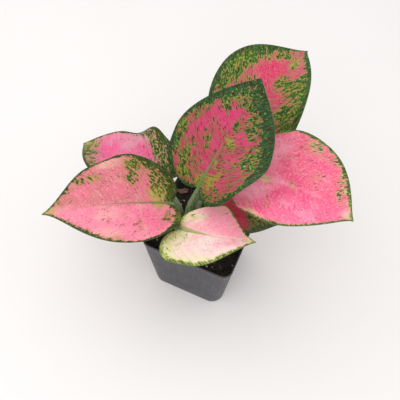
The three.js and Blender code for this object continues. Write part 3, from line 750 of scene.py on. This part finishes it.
              [(-0.05, 2.6), (0.1, 3), (0.2, 3.5), (0.35, 3), (0.5, 2.6), (0.62, 2.6), (0.75, 1.6),
               (0.9, 1.2), (1, 1)]),
        green=[(0.18, -0.45, 1.4, 5, 0.5), (0.1, -0.72, 3, 4, 0.42), (0.3, 0.5, 2, 2, 0.45),
               (0.3, 0.18, 2, 2, 0.35), (0.42, 0.78, 2.5, 2, 0.5), (0.62, 0.75, 3, 2, 0.5),
               (0.8, 0.4, 2.5, 2, 0.5), (0.87, -0.02, 3, 2, 0.6), (0.02, -0.35, 2.5, 5, 0.5),
               (0.08, 0.5, 3, 4, 0.42), (0.14, -0.2, 3, 4, 0.38), (0.17, 0.42, 3, 3, 0.36)],
        yellow=[(0.0, -0.5, 4, 9, 1.0), (0.06, -0.85, 5, 4, 0.9), (0.0, 0.3, 3, 6, 0.9),
                (0.97, 0, 4, 3, 1.0), (0.1, -0.25, 6, 3, 0.6), (0.3, -1.0, 12, 2.5, 0.7),
                (0.55, -0.8, 9, 2.5, 0.7)],
        deep=[(0.5, 0.55, 8, 8, 1.0), (0.7, 0.3, 6, 5, 1.0), (0.35, 0.6, 5, 5, 0.5),
              (0.62, -0.25, 5, 5, 0.2), (0.75, -0.15, 4, 3, 0.5), (0.4, 0.2, 5, 3, 0.4)],
        pale=[(0.12, 0.45, 6, 7, 0.8), (0.15, -0.5, 5, 8, 0.8), (0.4, -0.2, 7, 4, 0.3),
              (0.3, -0.8, 8, 4, 0.4)],
        pink=("#F2A0AD", "#F8D8D2"), hot="#F890AC", pale_and_painted_light="#E8DCC0", cast="#CDBE8E",
        greens=("#4C6A1C", "#8AA23C", "#D6DD90"), rib=(3.2, 0.5), rib_colour="#96A258", fleck=0.03,
        banded=0.05,
    ),
    "low_right": dict(
        junction=(-1.5, 6, 80), length=61, half_width=23,
        heading=(10, 22), pitch=(4, -4, -14), roll=(-6, -6), fold=(10, 17), curl=(0, 8),
        spread=(1, 1.06), widest=(0.4, 0.32), lobe=(0.1, 0.1), fullness=(0.62, 0.62), taper=0.16,
        ripple=((0, 0, 0, 0), (0, 0, 0, 0)),
        edge=([(-0.05, 3), (0.4, 2.5), (0.6, 4), (0.8, 6), (1, 4)],
              [(-0.05, 3), (0.4, 2.5), (0.55, 4.5), (0.7, 7), (1, 4)]),
        green=[(0.72, 0.1, 6, 9, 0.9), (0.78, -0.4, 8, 9, 1.0), (0.64, -0.75, 5, 4, 0.6),
               (0.62, 0.3, 4, 5, 0.5)],
        yellow=[(0.7, 0.0, 6, 3, 0.3)],
        deep=[(0.45, -0.2, 8, 9, 0.8)],
        pale=[],
        # This blade's crimson pink and dark greens are partly its own colour and partly painted shade, as it
        # lies in the right blade's shadow.
        pink=("#B02A42", "#BC304A"), hot="#C42C4E", pale_and_painted_light="#A85564", cast="#6A4630",
        greens=("#243C14", "#4C6A26", "#8D9A3A"), rib=(1.0, 0.5), rib_colour="#7A3A40", fleck=0.08,
        banded=0.2,
    ),
}


def along(values, f):
    """A value along a blade: two numbers run straight, three are base, middle and tip."""
    if len(values) == 2:
        return lerp(values[0], values[1], f)
    base, middle, tip = values
    return base * (1 - f) * (1 - 2 * f) + middle * 4 * f * (1 - f) + tip * f * (2 * f - 1)


def blade_axes(leaf, f):
    """Forward along the midrib, left across the blade and up out of its face."""
    heading = np.radians(along(leaf["heading"], f))
    pitch = np.radians(along(leaf["pitch"], f))
    roll = np.radians(along(leaf["roll"], f))[..., None]
    forward = np.stack([np.cos(heading) * np.cos(pitch), np.sin(heading) * np.cos(pitch), np.sin(pitch)], -1)
    level = np.stack([-np.sin(heading), np.cos(heading), 0 * heading], -1)
    rise = np.cross(forward, level)
    left = level * np.cos(roll) + rise * np.sin(roll)
    return forward, left, np.cross(forward, left)


def midrib(leaf, steps=48):
    """Points of the midrib, evenly spaced from the stalk to the tip."""
    middle = (np.arange(steps) + 0.5) / steps
    forward = blade_axes(leaf, middle)[0] * leaf["length"] / steps
    return np.vstack([[0, 0, 0], np.cumsum(forward, 0)]) + np.array(leaf["junction"], float)


def bezier(points, t):
    """A cubic curve through its first and last point, bent towards the two between."""
    t = t[..., None]
    p = [np.array(q, float) for q in points]
    return (1 - t) ** 3 * p[0] + 3 * (1 - t) ** 2 * t * p[1] + 3 * (1 - t) * t * t * p[2] + t ** 3 * p[3]


# How far the outline's curves reach, as shares of the blade's length or half width.
LOBE_REACH = 1.33
LOBE_WIDTH = 0.55
NEAR_REACH = 0.3
FAR_REACH = 0.306
TIP_WIDTH = 0.17


def half_outline(leaf, side, u):
    """Half of the flat blade's edge: u 0 is the notch, 0.5 the widest place, 1 the tip."""
    length, half = leaf["length"], leaf["half_width"]
    widest = leaf["widest"][side] * length
    lobe = (-LOBE_REACH * leaf["lobe"][side] * length, LOBE_WIDTH * leaf["fullness"][side] * half)
    near = bezier([(0, NOTCH), lobe, (widest - NEAR_REACH * length, half), (widest, half)],
                  np.clip(2 * u, 0, 1))
    far = bezier([(widest, half), (widest + FAR_REACH * length, half),
                  (length * (1 - leaf["taper"]), TIP_WIDTH * half), (length, TIP)],
                 np.clip(2 * u - 1, 0, 1))
    return np.where((u < 0.5)[..., None], near, far)


def flat_blade(leaf, u, s):
    """Place on the flat blade in mm, along and left across, for u along and s across from -1 to 1."""
    is_left = s >= 0
    edge = np.where(is_left[..., None], half_outline(leaf, 0, u), half_outline(leaf, 1, u))
    # The row at the notch bends back at least as steeply as the edge leaves its
    # corner, so that no two rows cross there, and later rows bend less and less.
    leaving = [half_outline(leaf, side, np.array(0.001)) for side in (0, 1)]
    steepest = [max(1, -1.2 * x / (y - NOTCH) * NOTCH / NOTCH_DEPTH) for x, y in leaving]
    bend = lerp(1.3, np.where(is_left, *steepest), (1 - u) ** 4)
    row_start = NOTCH_DEPTH + (leaf["length"] - NOTCH_DEPTH) * u ** 1.5
    x = row_start + (edge[..., 0] - row_start) * np.abs(s) ** bend
    return x, edge[..., 1] * s * np.where(is_left, *leaf["spread"])


def bent_blade(leaf, x, y):
    """Place on the living blade, in mm, of a place on the flat one."""
    f = np.clip(x / leaf["length"], 0, 1)
    forward, left, up = blade_axes(leaf, f)
    spine = midrib(leaf)
    at = np.linspace(0, 1, len(spine))
    centre = np.stack([np.interp(f, at, spine[:, k]) for k in range(3)], -1)
    centre = centre + forward * (x - f * leaf["length"])[..., None]
    is_left = y >= 0
    across = np.abs(y) / leaf["half_width"]
    lift = np.radians(np.where(is_left, *leaf["fold"]) + np.where(is_left, *leaf["curl"]) * across / 2)
    ripple = 0
    for i, place in enumerate(RIPPLE_AT):
        swell = np.exp(-((x / leaf["length"] - place) / RIPPLE_SPREAD) ** 2)
        ripple = ripple + np.where(is_left, leaf["ripple"][0][i], leaf["ripple"][1][i]) * swell
    rise = np.abs(y) * np.sin(lift) + across ** 2 * ripple
    return centre + left * (y * np.cos(lift))[..., None] + up * rise[..., None]


def blade_normal(leaf, x, y):
    """Which way the bent blade's upper face looks at a place on the flat one."""
    step = 0.2
    lengthwise = bent_blade(leaf, x + step, y) - bent_blade(leaf, x - step, y)
    crosswise = bent_blade(leaf, x, y + step) - bent_blade(leaf, x, y - step)
    normal = np.cross(lengthwise, crosswise)
    return normal / np.linalg.norm(normal, axis=-1, keepdims=True)


# How far a side vein runs towards the tip for each mm that it runs out, and how much
# more it does so further out.
VEIN_SLANT = 0.45
VEIN_CURVE = 0.012


def vein_place(x, y):
    """Distance along the midrib at which the side vein through a point leaves it, in mm."""
    return x - VEIN_SLANT * np.abs(y) - VEIN_CURVE * y ** 2


def zones(leaf, key, x, y):
    """Sum of a leaf's named zones at a place on its flat blade."""
    total = 0 * x
    for f, across, long, wide, strength in leaf[key]:
        dx = (x - f * leaf["length"]) / long
        dy = (y - across * leaf["half_width"]) / wide
        total = total + strength * np.exp(-0.5 * (dx ** 2 + dy ** 2))
    return total


def edge_distance(leaf, x, y):
    """Distance from a place on the flat blade to its edge, in mm."""
    u = np.linspace(0, 1, 160)
    rim = np.vstack([half_outline(leaf, 0, u) * (1, leaf["spread"][0]),
                     half_outline(leaf, 1, u) * (1, -leaf["spread"][1])])
    nearest = np.full(x.shape, 1e9)
    for px, py in rim:
        nearest = np.minimum(nearest, (x - px) ** 2 + (y - py) ** 2)
    return np.sqrt(nearest)


def write_uv(mesh, title, pairs):
    """A UV map from a pair of numbers for each vertex."""
    corner = np.zeros(len(mesh.loops), np.int32)
    mesh.loops.foreach_get("vertex_index", corner)
    layer = mesh.uv_layers.new(name=title)
    layer.uv.foreach_set("vector", pairs[corner].astype(np.float32).ravel())


def write_field(mesh, title, values):
    """A named number at each vertex."""
    mesh.attributes.new(title, "FLOAT", "POINT").data.foreach_set("value", values.astype(np.float32))


# Relief of the blade's two faces, in mm: the groove over the midrib and the keel
# under it, and the tissue that swells between the side veins and lies flat again
# near the edge.
VEIN_SPACING = 7.5
FACE_RISE = 0.27
GROOVE_DEPTH = 0.45
GROOVE_WIDTH = 1.3
SWELL = 0.13
BACK_DEPTH = 0.22
KEEL_DEPTH = 1.5
KEEL_WIDTH = 1.1
VEIN_RIDGE = 0.16
FLAT_EDGE = 4

# The ground colours of the two halves run into each other over twice that many mm.
HALVES_BLEND = 3.0


def leaf_blade(name, leaf, materials):
    """A blade with its relief, and what its materials read from it."""
    bm = slab(COLUMNS, ROWS)
    unit = np.array([v.co for v in bm.verts])
    u, s, is_top = (unit[:, 1] + 1) / 2, -unit[:, 0], unit[:, 2] > 0.5
    x, y = flat_blade(leaf, u, s)
    f = np.clip(x / leaf["length"], 0, 1)
    edge = edge_distance(leaf, x, y)
    inner = np.clip(edge / FLAT_EDGE, 0, 1)
    vein = vein_place(x, y)
    quilt = np.cos(math.tau * vein / VEIN_SPACING)
    groove = np.exp(-(y / GROOVE_WIDTH) ** 2) * (1 - f) ** 0.7
    top = FACE_RISE - GROOVE_DEPTH * groove - SWELL * quilt * inner
    keel = KEEL_DEPTH * np.exp(-(y / KEEL_WIDTH) ** 2) * (1 - f) ** 0.8
    bottom = -0.05 - BACK_DEPTH * np.clip(edge / 1.5, 0, 1) - keel
    bottom = bottom - VEIN_RIDGE * np.maximum(quilt, 0) ** 3 * inner
    height = np.where(is_top, top * np.clip(0.3 + edge / 1.2, 0, 1), bottom)
    placed = bent_blade(leaf, x, y) + blade_normal(leaf, x, y) * height[:, None]
    for v, p in zip(bm.verts, placed):
        v.co = p * MM
    for face in bm.faces:
        face.material_index = 0 if all(is_top[v.index] for v in face.verts) else 1
    piece = add_piece("blade_" + name, bm, materials, ["leaf_" + name])
    # What the surface's pattern follows: place on the flat blade and along the
    # side veins in mm, the green margin's depth, and the zones of each tint.
    write_uv(piece.data, "blade_mm", np.stack([x, y], -1))
    write_uv(piece.data, "vein_mm", np.stack([vein, y], -1))
    band = np.where(s >= 0, *[np.interp(x / leaf["length"], *zip(*side)) for side in leaf["edge"]])
    rib_width, rib_end = leaf["rib"]
    fields = {
        "margin": (band - edge) / (0.3 + 0.3 * band),
        "edge": edge,
        "half": np.clip(0.5 - 0.5 * y / HALVES_BLEND, 0, 1),
        "rib": rib_width * np.clip(1 - f / rib_end, -1, 1) - np.abs(y),
    }
    for tint in ("green", "yellow", "deep", "pale"):
        fields[tint] = zones(leaf, tint, x, y)
    for title, values in fields.items():
        write_field(piece.data, title, values)


# Nearly all of a noise's values lie between these two.
NOISE_LOW = 0.32
NOISE_HIGH = 0.68


def variegated_leaf(name, leaf, is_under):
    """Living leaf skin: waxy satin over pink tissue, with green flecks and a green margin."""
    material, tree = new_material(("leaf_underside_" if is_under else "leaf_face_") + name)
    field = {
        title: add_node(tree, "ShaderNodeAttribute", {}, out=2, attribute_name=title)
        for title in ("margin", "edge", "half", "rib", "green", "yellow", "deep", "pale")
    }

    # Noises, by the size in mm of their grains and how they are drawn out along the side veins.
    blade = add_node(tree, "ShaderNodeUVMap", {}, uv_map="blade_mm")
    veins = add_node(tree, "ShaderNodeUVMap", {}, uv_map="vein_mm")
    grains = {}
    for title, place, drawn_out, size_mm, detail, rough in (
            ("wide", blade, 1.0, 12.0, 3.0, 0.5), ("cloud", blade, 1.0, 4.0, 3.0, 0.55),
            ("fleck", veins, 0.45, 1.8, 4.0, 0.6), ("tone", veins, 0.5, 1.7, 2.0, 0.5),
            ("light", blade, 1.0, 1.7, 3.0, 0.55), ("speck", veins, 0.32, 1.05, 2.0, 0.5),
            ("streak", veins, 0.07, 1.1, 3.0, 0.6), ("band", veins, 0.24, 3.4, 3.0, 0.55)):
        drawn = add_node(tree, "ShaderNodeMapping",
                         {"Vector": place, "Location": (7.0 * len(grains), 3.0, 0.0),
                          "Scale": (1.0, drawn_out, 1.0)})
        grains[title] = add_node(tree, "ShaderNodeTexNoise",
                                 {"Vector": drawn, "Scale": 1 / size_mm, "Detail": detail,
                                  "Roughness": rough})

    # Each tint's zones get a broken outline from a noise.
    share = {}
    for title, zone, grain, low, high in (
            ("hot", "deep", "wide", -0.3, 0.4), ("pale_and_painted_light_share", "pale", "wide", 0.25, -0.3),
            ("golden", "yellow", "streak", -0.45, 0.35), ("rim", "margin", "cloud", -0.5, 0.5)):
        broken = add_node(tree, "ShaderNodeMapRange",
                          {0: grains[grain], 1: NOISE_LOW, 2: NOISE_HIGH, 3: low, 4: high})
        share[title] = add_node(tree, "ShaderNodeMath", {0: field[zone], 1: broken}, operation="ADD")

    # Green grows in from the margin and in patches, and thins out into flecks. Patches
    # alone never close up into solid green.
    solid = add_node(tree, "ShaderNodeMapRange", {0: share["rim"], 1: -1.4, 2: 1.3, 4: 1.15})
    zoned = add_node(tree, "ShaderNodeMath", {0: field["green"], 1: 0.78}, operation="MINIMUM")
    amount = add_node(tree, "ShaderNodeMath", {0: solid, 1: zoned}, operation="MAXIMUM")
    patchy = add_node(tree, "ShaderNodeMapRange",
                      {0: grains["cloud"], 1: NOISE_LOW, 2: NOISE_HIGH, 3: -0.18, 4: 0.18 + leaf["fleck"]})
    amount = add_node(tree, "ShaderNodeMath", {0: amount, 1: patchy}, operation="ADD")
    banded = add_node(tree, "ShaderNodeMapRange",
                      {0: grains["band"], 1: 0.34, 2: 0.66, 3: -0.15, 4: 0.15})
    amount = add_node(tree, "ShaderNodeMath", {0: amount, 1: banded}, operation="ADD")
    drive = add_node(tree, "ShaderNodeMapRange", {0: amount, 1: 0.1, 2: 1.0, 3: -0.36, 4: 1.05})
    sharp = add_node(tree, "ShaderNodeMath", {0: grains["fleck"], 1: 1.5, 2: -1.03},
                     operation="MULTIPLY_ADD")
    ink = add_node(tree, "ShaderNodeMath", {0: drive, 1: 0.56, 2: sharp}, operation="MULTIPLY_ADD")
    speck = add_node(tree, "ShaderNodeMath", {0: amount, 1: 0.1, 2: grains["speck"]},
                     operation="MULTIPLY_ADD")
    spared = add_node(tree, "ShaderNodeMath", {0: solid, 1: -0.07, 2: grains["light"]},
                      operation="MULTIPLY_ADD")

    dark, middle, light = leaf["greens"]
    first, second = leaf["pink"]
    tissue = linear(first)
    greens = linear(dark)
    # Layers from the pink tissue up: what drives the layer, where it starts and
    # is full, how much it covers at most, and its colour.
    for source, start, full, most, tint in (
            (field["half"], 0.0, 1.0, 1.0, second),
            (grains["band"], 0.45, 0.57, leaf["banded"], leaf["cast"]),
            (share["hot"], 0.1, 0.9, 0.9, leaf["hot"]),
            # Pale zones: paler tissue, and painted sheen and painted light where a blade's zones put them.
            (share["pale_and_painted_light_share"], 0.1, 0.9, 0.8, leaf["pale_and_painted_light"]),
            (grains["light"], 0.5, 0.68, 0.45, leaf["pale_and_painted_light"]),
            (grains["light"], 0.5, 0.32, 0.35, leaf["hot"]),
            (grains["streak"], 0.52, 0.72, 0.3, leaf["pale_and_painted_light"]),
            (amount, 0.12, 0.6, 0.7, leaf["cast"]),
            (share["golden"], 0.2, 0.8, 0.75, light),
            (ink, -0.04, 0.0, 0.7, light)):
        tissue = tinted(tree, tissue, source, start, full, linear(tint), most)
    for source, start, full, most, tint in (
            (grains["tone"], 0.44, 0.58, 1.0, middle),
            (share["golden"], 0.2, 0.8, 0.4, light),
            (spared, 0.52, 0.58, 0.85, light),
            (grains["tone"], 0.40, 0.35, 0.5, leaf["cast"])):
        greens = tinted(tree, greens, source, start, full, linear(tint), most)
    colour = tissue
    speckled = 0.16 * leaf["fleck"]
    for source, start, full, most, tint in (
            (ink, 0.0, 0.05, 1.0, greens),
            (speck, 0.67 - speckled, 0.72 - speckled, 0.9, linear("#33220F")),
            (field["rib"], -0.3, 0.5, 0.85, linear(leaf["rib_colour"])),
            (field["edge"], 0.7, 0.25, 0.8, linear(dark))):
        colour = tinted(tree, colour, source, start, full, tint, most)
    if is_under:
        # Seen from below the same tints are pale and dull, as through thin paper.
        colour = add_node(tree, "ShaderNodeMix", {0: 0.5, 6: colour, 7: linear("#A6A386")},
                          out=2, data_type="RGBA")

    relief = add_node(tree, "ShaderNodeMath", {0: grains["streak"], 1: grains["light"]}, operation="ADD")
    bump = add_node(tree, "ShaderNodeBump", {"Height": relief, "Strength": 0.18, "Distance": 0.25 * MM})
    low, high = (0.55, 0.65) if is_under else (0.36, 0.48)
    rough = add_node(tree, "ShaderNodeMapRange", {0: grains["cloud"], 1: 0.3, 2: 0.7, 3: low, 4: high})
    shader = add_node(tree, "ShaderNodeBsdfPrincipled",
                      {"Base Color": colour, "Roughness": rough, "Normal": bump, "IOR": 1.42,
                       "Specular IOR Level": 0.22})
    add_node(tree, "ShaderNodeOutputMaterial", {0: shader})
    return material


for name, leaf in LEAVES.items():
    leaf_blade(name, leaf, [variegated_leaf(name, leaf, False), variegated_leaf(name, leaf, True)])


# --------------------------------------------------------------- leaf stalks
# Each blade stands on a fleshy stalk, channelled above, whose foot widens into
# a sheath that clasps the cane. The youngest stalk grows from the cane's tip.

STALK_FOOT_Z = 59.9
FOOT_RADIUS = 2.4
END_RADIUS = 1.7
STALK_STEPS = 90

# The youngest stalk's foot, on the cane's tip.
TIP_FOOT = (-14.8, 4.4, CANE_TOP - 1.0)

# Each stalk's centre line: the side of the cane it leaves, in degrees, and two points
# that it bends towards. It ends short of the blade's junction and below it.
SHORT_OF_BLADE = 1.0
BELOW_BLADE = 0.5
STALKS = {
    "left": (228, (-20, -3, 73), (-22, -1.5, 81)),
    "back_left": (172, (-24, 6, 82), (-38, 12.8, 76)),
    "centre": (None, (-16, 6.5, 78), (-12.7, 9, 90)),
    "back": (118, (-16, 15, 82), (1, 54, 82)),
    "right": (62, (-11, 20, 90), (12, 40, 93)),
    "front": (292, (-12, -7, 75), (-17, -20.5, 81)),
    "low_right": (2, (-6.3, 3.5, 68), (-7, 5, 75)),
}

# A stalk runs on under its blade as the keel, over about KEEL_RUN mm, lies a little
# deeper under the blade with each step, and thins out to a share of its radius.
KEEL_STEPS = 7
KEEL_STEP = 1.6
KEEL_RUN = 11.0
KEEL_SINK = 0.9
KEEL_SLOPE = 0.05
KEEL_END = 0.25


def stalk_skin():
    """Living stalk: waxy, pale green at the foot and deeper above, marbled and faintly flushed."""
    material, tree = new_material("waxy_leaf_stalk")
    place = add_node(tree, "ShaderNodeUVMap", {}, uv_map="stalk_mm")
    climb = add_node(tree, "ShaderNodeAttribute", {}, out=2, attribute_name="climb")
    drawn = add_node(tree, "ShaderNodeMapping", {"Vector": place, "Scale": (0.35, 1.0, 1.0)})
    marble = add_node(tree, "ShaderNodeTexNoise",
                      {"Vector": drawn, "Scale": 1 / 1.6, "Detail": 4.0, "Roughness": 0.6})
    fibre = add_node(tree, "ShaderNodeMapping", {"Vector": place, "Scale": (0.06, 1.0, 1.0)})
    fibre = add_node(tree, "ShaderNodeTexNoise", {"Vector": fibre, "Scale": 1 / 0.5, "Detail": 2.0})
    base = add_node(tree, "ShaderNodeMix",
                    {0: climb, 6: linear("#8C9C74"), 7: linear("#5E7C48")}, out=2, data_type="RGBA")
    colour = tinted(tree, base, marble, 0.48, 0.62, linear("#33502C"), most=0.8)
    colour = tinted(tree, colour, marble, 0.46, 0.34, linear("#96705C"), most=0.5)
    bump = add_node(tree, "ShaderNodeBump", {"Height": fibre, "Strength": 0.25, "Distance": 0.2 * MM})
    shader = add_node(tree, "ShaderNodeBsdfPrincipled",
                      {"Base Color": colour, "Roughness": 0.42, "Normal": bump, "IOR": 1.42})
    add_node(tree, "ShaderNodeOutputMaterial", {0: shader})
    return material


def stalk_path(name, leaf):
    """The stalk's centre line in mm, which runs on under the blade as its keel."""
    foot_at, low, high = STALKS[name]
    if foot_at is None:
        foot = np.array(TIP_FOOT)
    else:
        away = CANE_RADIUS + FOOT_RADIUS
        turn = math.radians(foot_at)
        foot = np.array((CANE_X + away * math.cos(turn), CANE_Y + away * math.sin(turn), STALK_FOOT_Z))
    forward, _, up = (axis[0] for axis in blade_axes(leaf, np.array([0.0])))
    end = np.array(leaf["junction"], float) - forward * SHORT_OF_BLADE - up * BELOW_BLADE
    curve = bezier([foot, low, high, end], np.linspace(0, 1, 60))
    spine = midrib(leaf)
    keel = []
    for i in range(1, KEEL_STEPS + 1):
        f = i * KEEL_STEP / leaf["length"]
        at = np.array([np.interp(f, np.linspace(0, 1, len(spine)), spine[:, k]) for k in range(3)])
        keel.append(at - blade_axes(leaf, np.array([f]))[2][0] * (KEEL_SINK + KEEL_SLOPE * i))
    return np.vstack([curve, keel])


# The sheath takes up that share of a stalk. Its two wings and the channel, which is
# deeper above the sheath than at the foot, are shares of the stalk's radius. Their
# places and widths are angles in radians from the channel's middle.
SHEATH_SHARE = 0.45
WING = 0.42
WING_AT = 0.85
WING_WIDTH = 0.3
CHANNEL = (0.3, 0.12)
CHANNEL_WIDTH = 0.55

# So that stalks don't all show the same stretch of the marbling, it is shifted by
# that many mm for each letter of a stalk's name.
MARBLING_SHIFT = 40


def leaf_stalk(name, leaf, material):
    """A stalk with its channel and sheath, and what its material reads from it."""
    points = stalk_path(name, leaf)
    lengths = np.concatenate([[0], np.cumsum(np.linalg.norm(np.diff(points, axis=0), axis=1))])
    even = np.linspace(0, lengths[-1], STALK_STEPS + 1)
    centre = np.stack([np.interp(even, lengths, points[:, k]) for k in range(3)], -1)
    for _ in range(3):
        centre[1:-1] = (centre[:-2] + 2 * centre[1:-1] + centre[2:]) / 4
    tangent = np.gradient(centre, axis=0)
    tangent /= np.linalg.norm(tangent, axis=1, keepdims=True)
    foot_at = STALKS[name][0]
    turn = math.radians(foot_at if foot_at is not None else leaf["heading"][0])
    inward = np.array((-math.cos(turn), -math.sin(turn), 0.0))
    blade_up = blade_axes(leaf, np.array([0.0]))[2][0]
    t = np.linspace(0, 1, STALK_STEPS + 1)[:, None]
    face = inward * (1 - t) + blade_up * t * 1.5
    face -= tangent * (face * tangent).sum(1, keepdims=True)
    face /= np.linalg.norm(face, axis=1, keepdims=True)
    side = np.cross(tangent, face)
    body = 1 - KEEL_RUN / lengths[-1]

    def place(share, turn):
        i = round(share * STALK_STEPS)
        angle = math.tau * turn
        off = math.atan2(math.sin(angle), math.cos(angle))
        radius = lerp(FOOT_RADIUS, END_RADIUS, min(share / body, 1))
        if share > body:
            radius *= lerp(1, KEEL_END, (share - body) / (1 - body))
        sheath = max(1 - share / SHEATH_SHARE, 0) ** 0.6
        wings = WING * sheath * math.exp(-((abs(off) - WING_AT) / WING_WIDTH) ** 2)
        channel = lerp(*CHANNEL, sheath) * math.exp(-(off / CHANNEL_WIDTH) ** 2)
        radius *= 1 + wings - channel
        return centre[i] + face[i] * radius * math.cos(angle) + side[i] * radius * math.sin(angle)

    skin = swept_skin(place, STALK_STEPS, sides=36)
    piece = add_piece("stalk_skin_" + name, skin, [material], ["stalk_" + name])
    mesh = piece.data
    spots = np.array([v.co for v in mesh.vertices]) / MM
    nearest = ((spots[:, None, :] - centre[None, :, :]) ** 2).sum(-1).argmin(1)
    out = spots - centre[nearest]
    around = np.arctan2((out * side[nearest]).sum(1), (out * face[nearest]).sum(1)) * FOOT_RADIUS
    write_uv(mesh, "stalk_mm", np.stack([even[nearest], around + MARBLING_SHIFT * len(name)], -1))
    write_field(mesh, "climb", nearest / STALK_STEPS)


stalk_material = stalk_skin()
for name, leaf in LEAVES.items():
    leaf_stalk(name, leaf, stalk_material)


# ------------------------------------------------------- floor, light, camera
# A plain pale floor in a bright, even room. One wide lamp hangs above and to the
# left of the plant, and a weaker one above and in front of it. Here lengths are
# in metres.

FLOOR_REACH = 40.0
floor_bm = bmesh.new()
bmesh.ops.create_grid(floor_bm, x_segments=1, y_segments=1, size=FLOOR_REACH)
floor = linked_object("studio_floor", floor_bm)
floor_paint, floor_tree = new_material("pale_floor_paint")
floor_place = add_node(floor_tree, "ShaderNodeTexCoord", {}, out=3)
floor_cloud = add_node(floor_tree, "ShaderNodeTexNoise",
                       {"Vector": floor_place, "Scale": 1 / 0.3, "Detail": 2.0})
floor_colour = add_node(floor_tree, "ShaderNodeMix",
                        {0: floor_cloud, 6: linear("#E4E0DD"), 7: linear("#EAE7E5")},
                        out=2, data_type="RGBA")
floor_shader = add_node(floor_tree, "ShaderNodeBsdfPrincipled",
                        {"Base Color": floor_colour, "Roughness": 0.7})
add_node(floor_tree, "ShaderNodeOutputMaterial", {0: floor_shader})
floor.data.materials.append(floor_paint)

world = bpy.data.worlds.new("soft_room_light")
bpy.context.scene.world = world
world.use_nodes = True
world.node_tree.nodes["Background"].inputs["Color"].default_value = (0.97, 0.98, 1.0, 1.0)
world.node_tree.nodes["Background"].inputs["Strength"].default_value = 0.88


LIT_POINT = (0, 0, 0.1)


def soft_box(name, place, width, watts, tint):
    """A square lamp that faces the plant."""
    lamp = bpy.data.lights.new(name, "AREA")
    lamp.shape = "SQUARE"
    lamp.size = width
    lamp.energy = watts
    lamp.color = tint
    holder = bpy.data.objects.new(name, lamp)
    holder.location = place
    holder.rotation_euler = (Vector(LIT_POINT) - Vector(place)).to_track_quat("-Z", "Y").to_euler()
    bpy.context.scene.collection.objects.link(holder)


soft_box("overhead", (-0.45, 0.1, 1.3), 1.8, 7.1, (1.0, 0.99, 0.97))
soft_box("front", (0.1, -0.8, 1.1), 1.2, 5.0, (1.0, 1.0, 1.0))

# The camera as it was fitted to the pot's corners: where it stands, how far it is
# turned to the right, looks down and is tilted, in degrees, and its focal length
# in pixels of the frame.
CAMERA_AT = (0.0594, -0.1705, 0.3842)
AZIMUTH, ELEVATION, TILT = (math.radians(a) for a in (20.4, 57.1, 4.2))
FOCAL_LENGTH = 450
FRAME_WIDTH = 400
SENSOR_WIDTH = 36.0
camera_data = bpy.data.cameras.new("camera")
camera_data.sensor_width = SENSOR_WIDTH
camera_data.lens = SENSOR_WIDTH * FOCAL_LENGTH / FRAME_WIDTH
camera_data.clip_start = 0.01
camera = bpy.data.objects.new("camera", camera_data)
back = Vector((math.sin(AZIMUTH) * math.cos(ELEVATION), -math.cos(AZIMUTH) * math.cos(ELEVATION),
               math.sin(ELEVATION)))
level_right = Vector((math.cos(AZIMUTH), math.sin(AZIMUTH), 0))
level_up = back.cross(level_right)
right = level_right * math.cos(TILT) + level_up * math.sin(TILT)
up = level_up * math.cos(TILT) - level_right * math.sin(TILT)
camera.matrix_world = Matrix([*zip(right, up, back, CAMERA_AT), (0, 0, 0, 1)])
bpy.context.scene.collection.objects.link(camera)
bpy.context.scene.camera = camera
bpy.context.scene.view_settings.view_transform = "Standard"
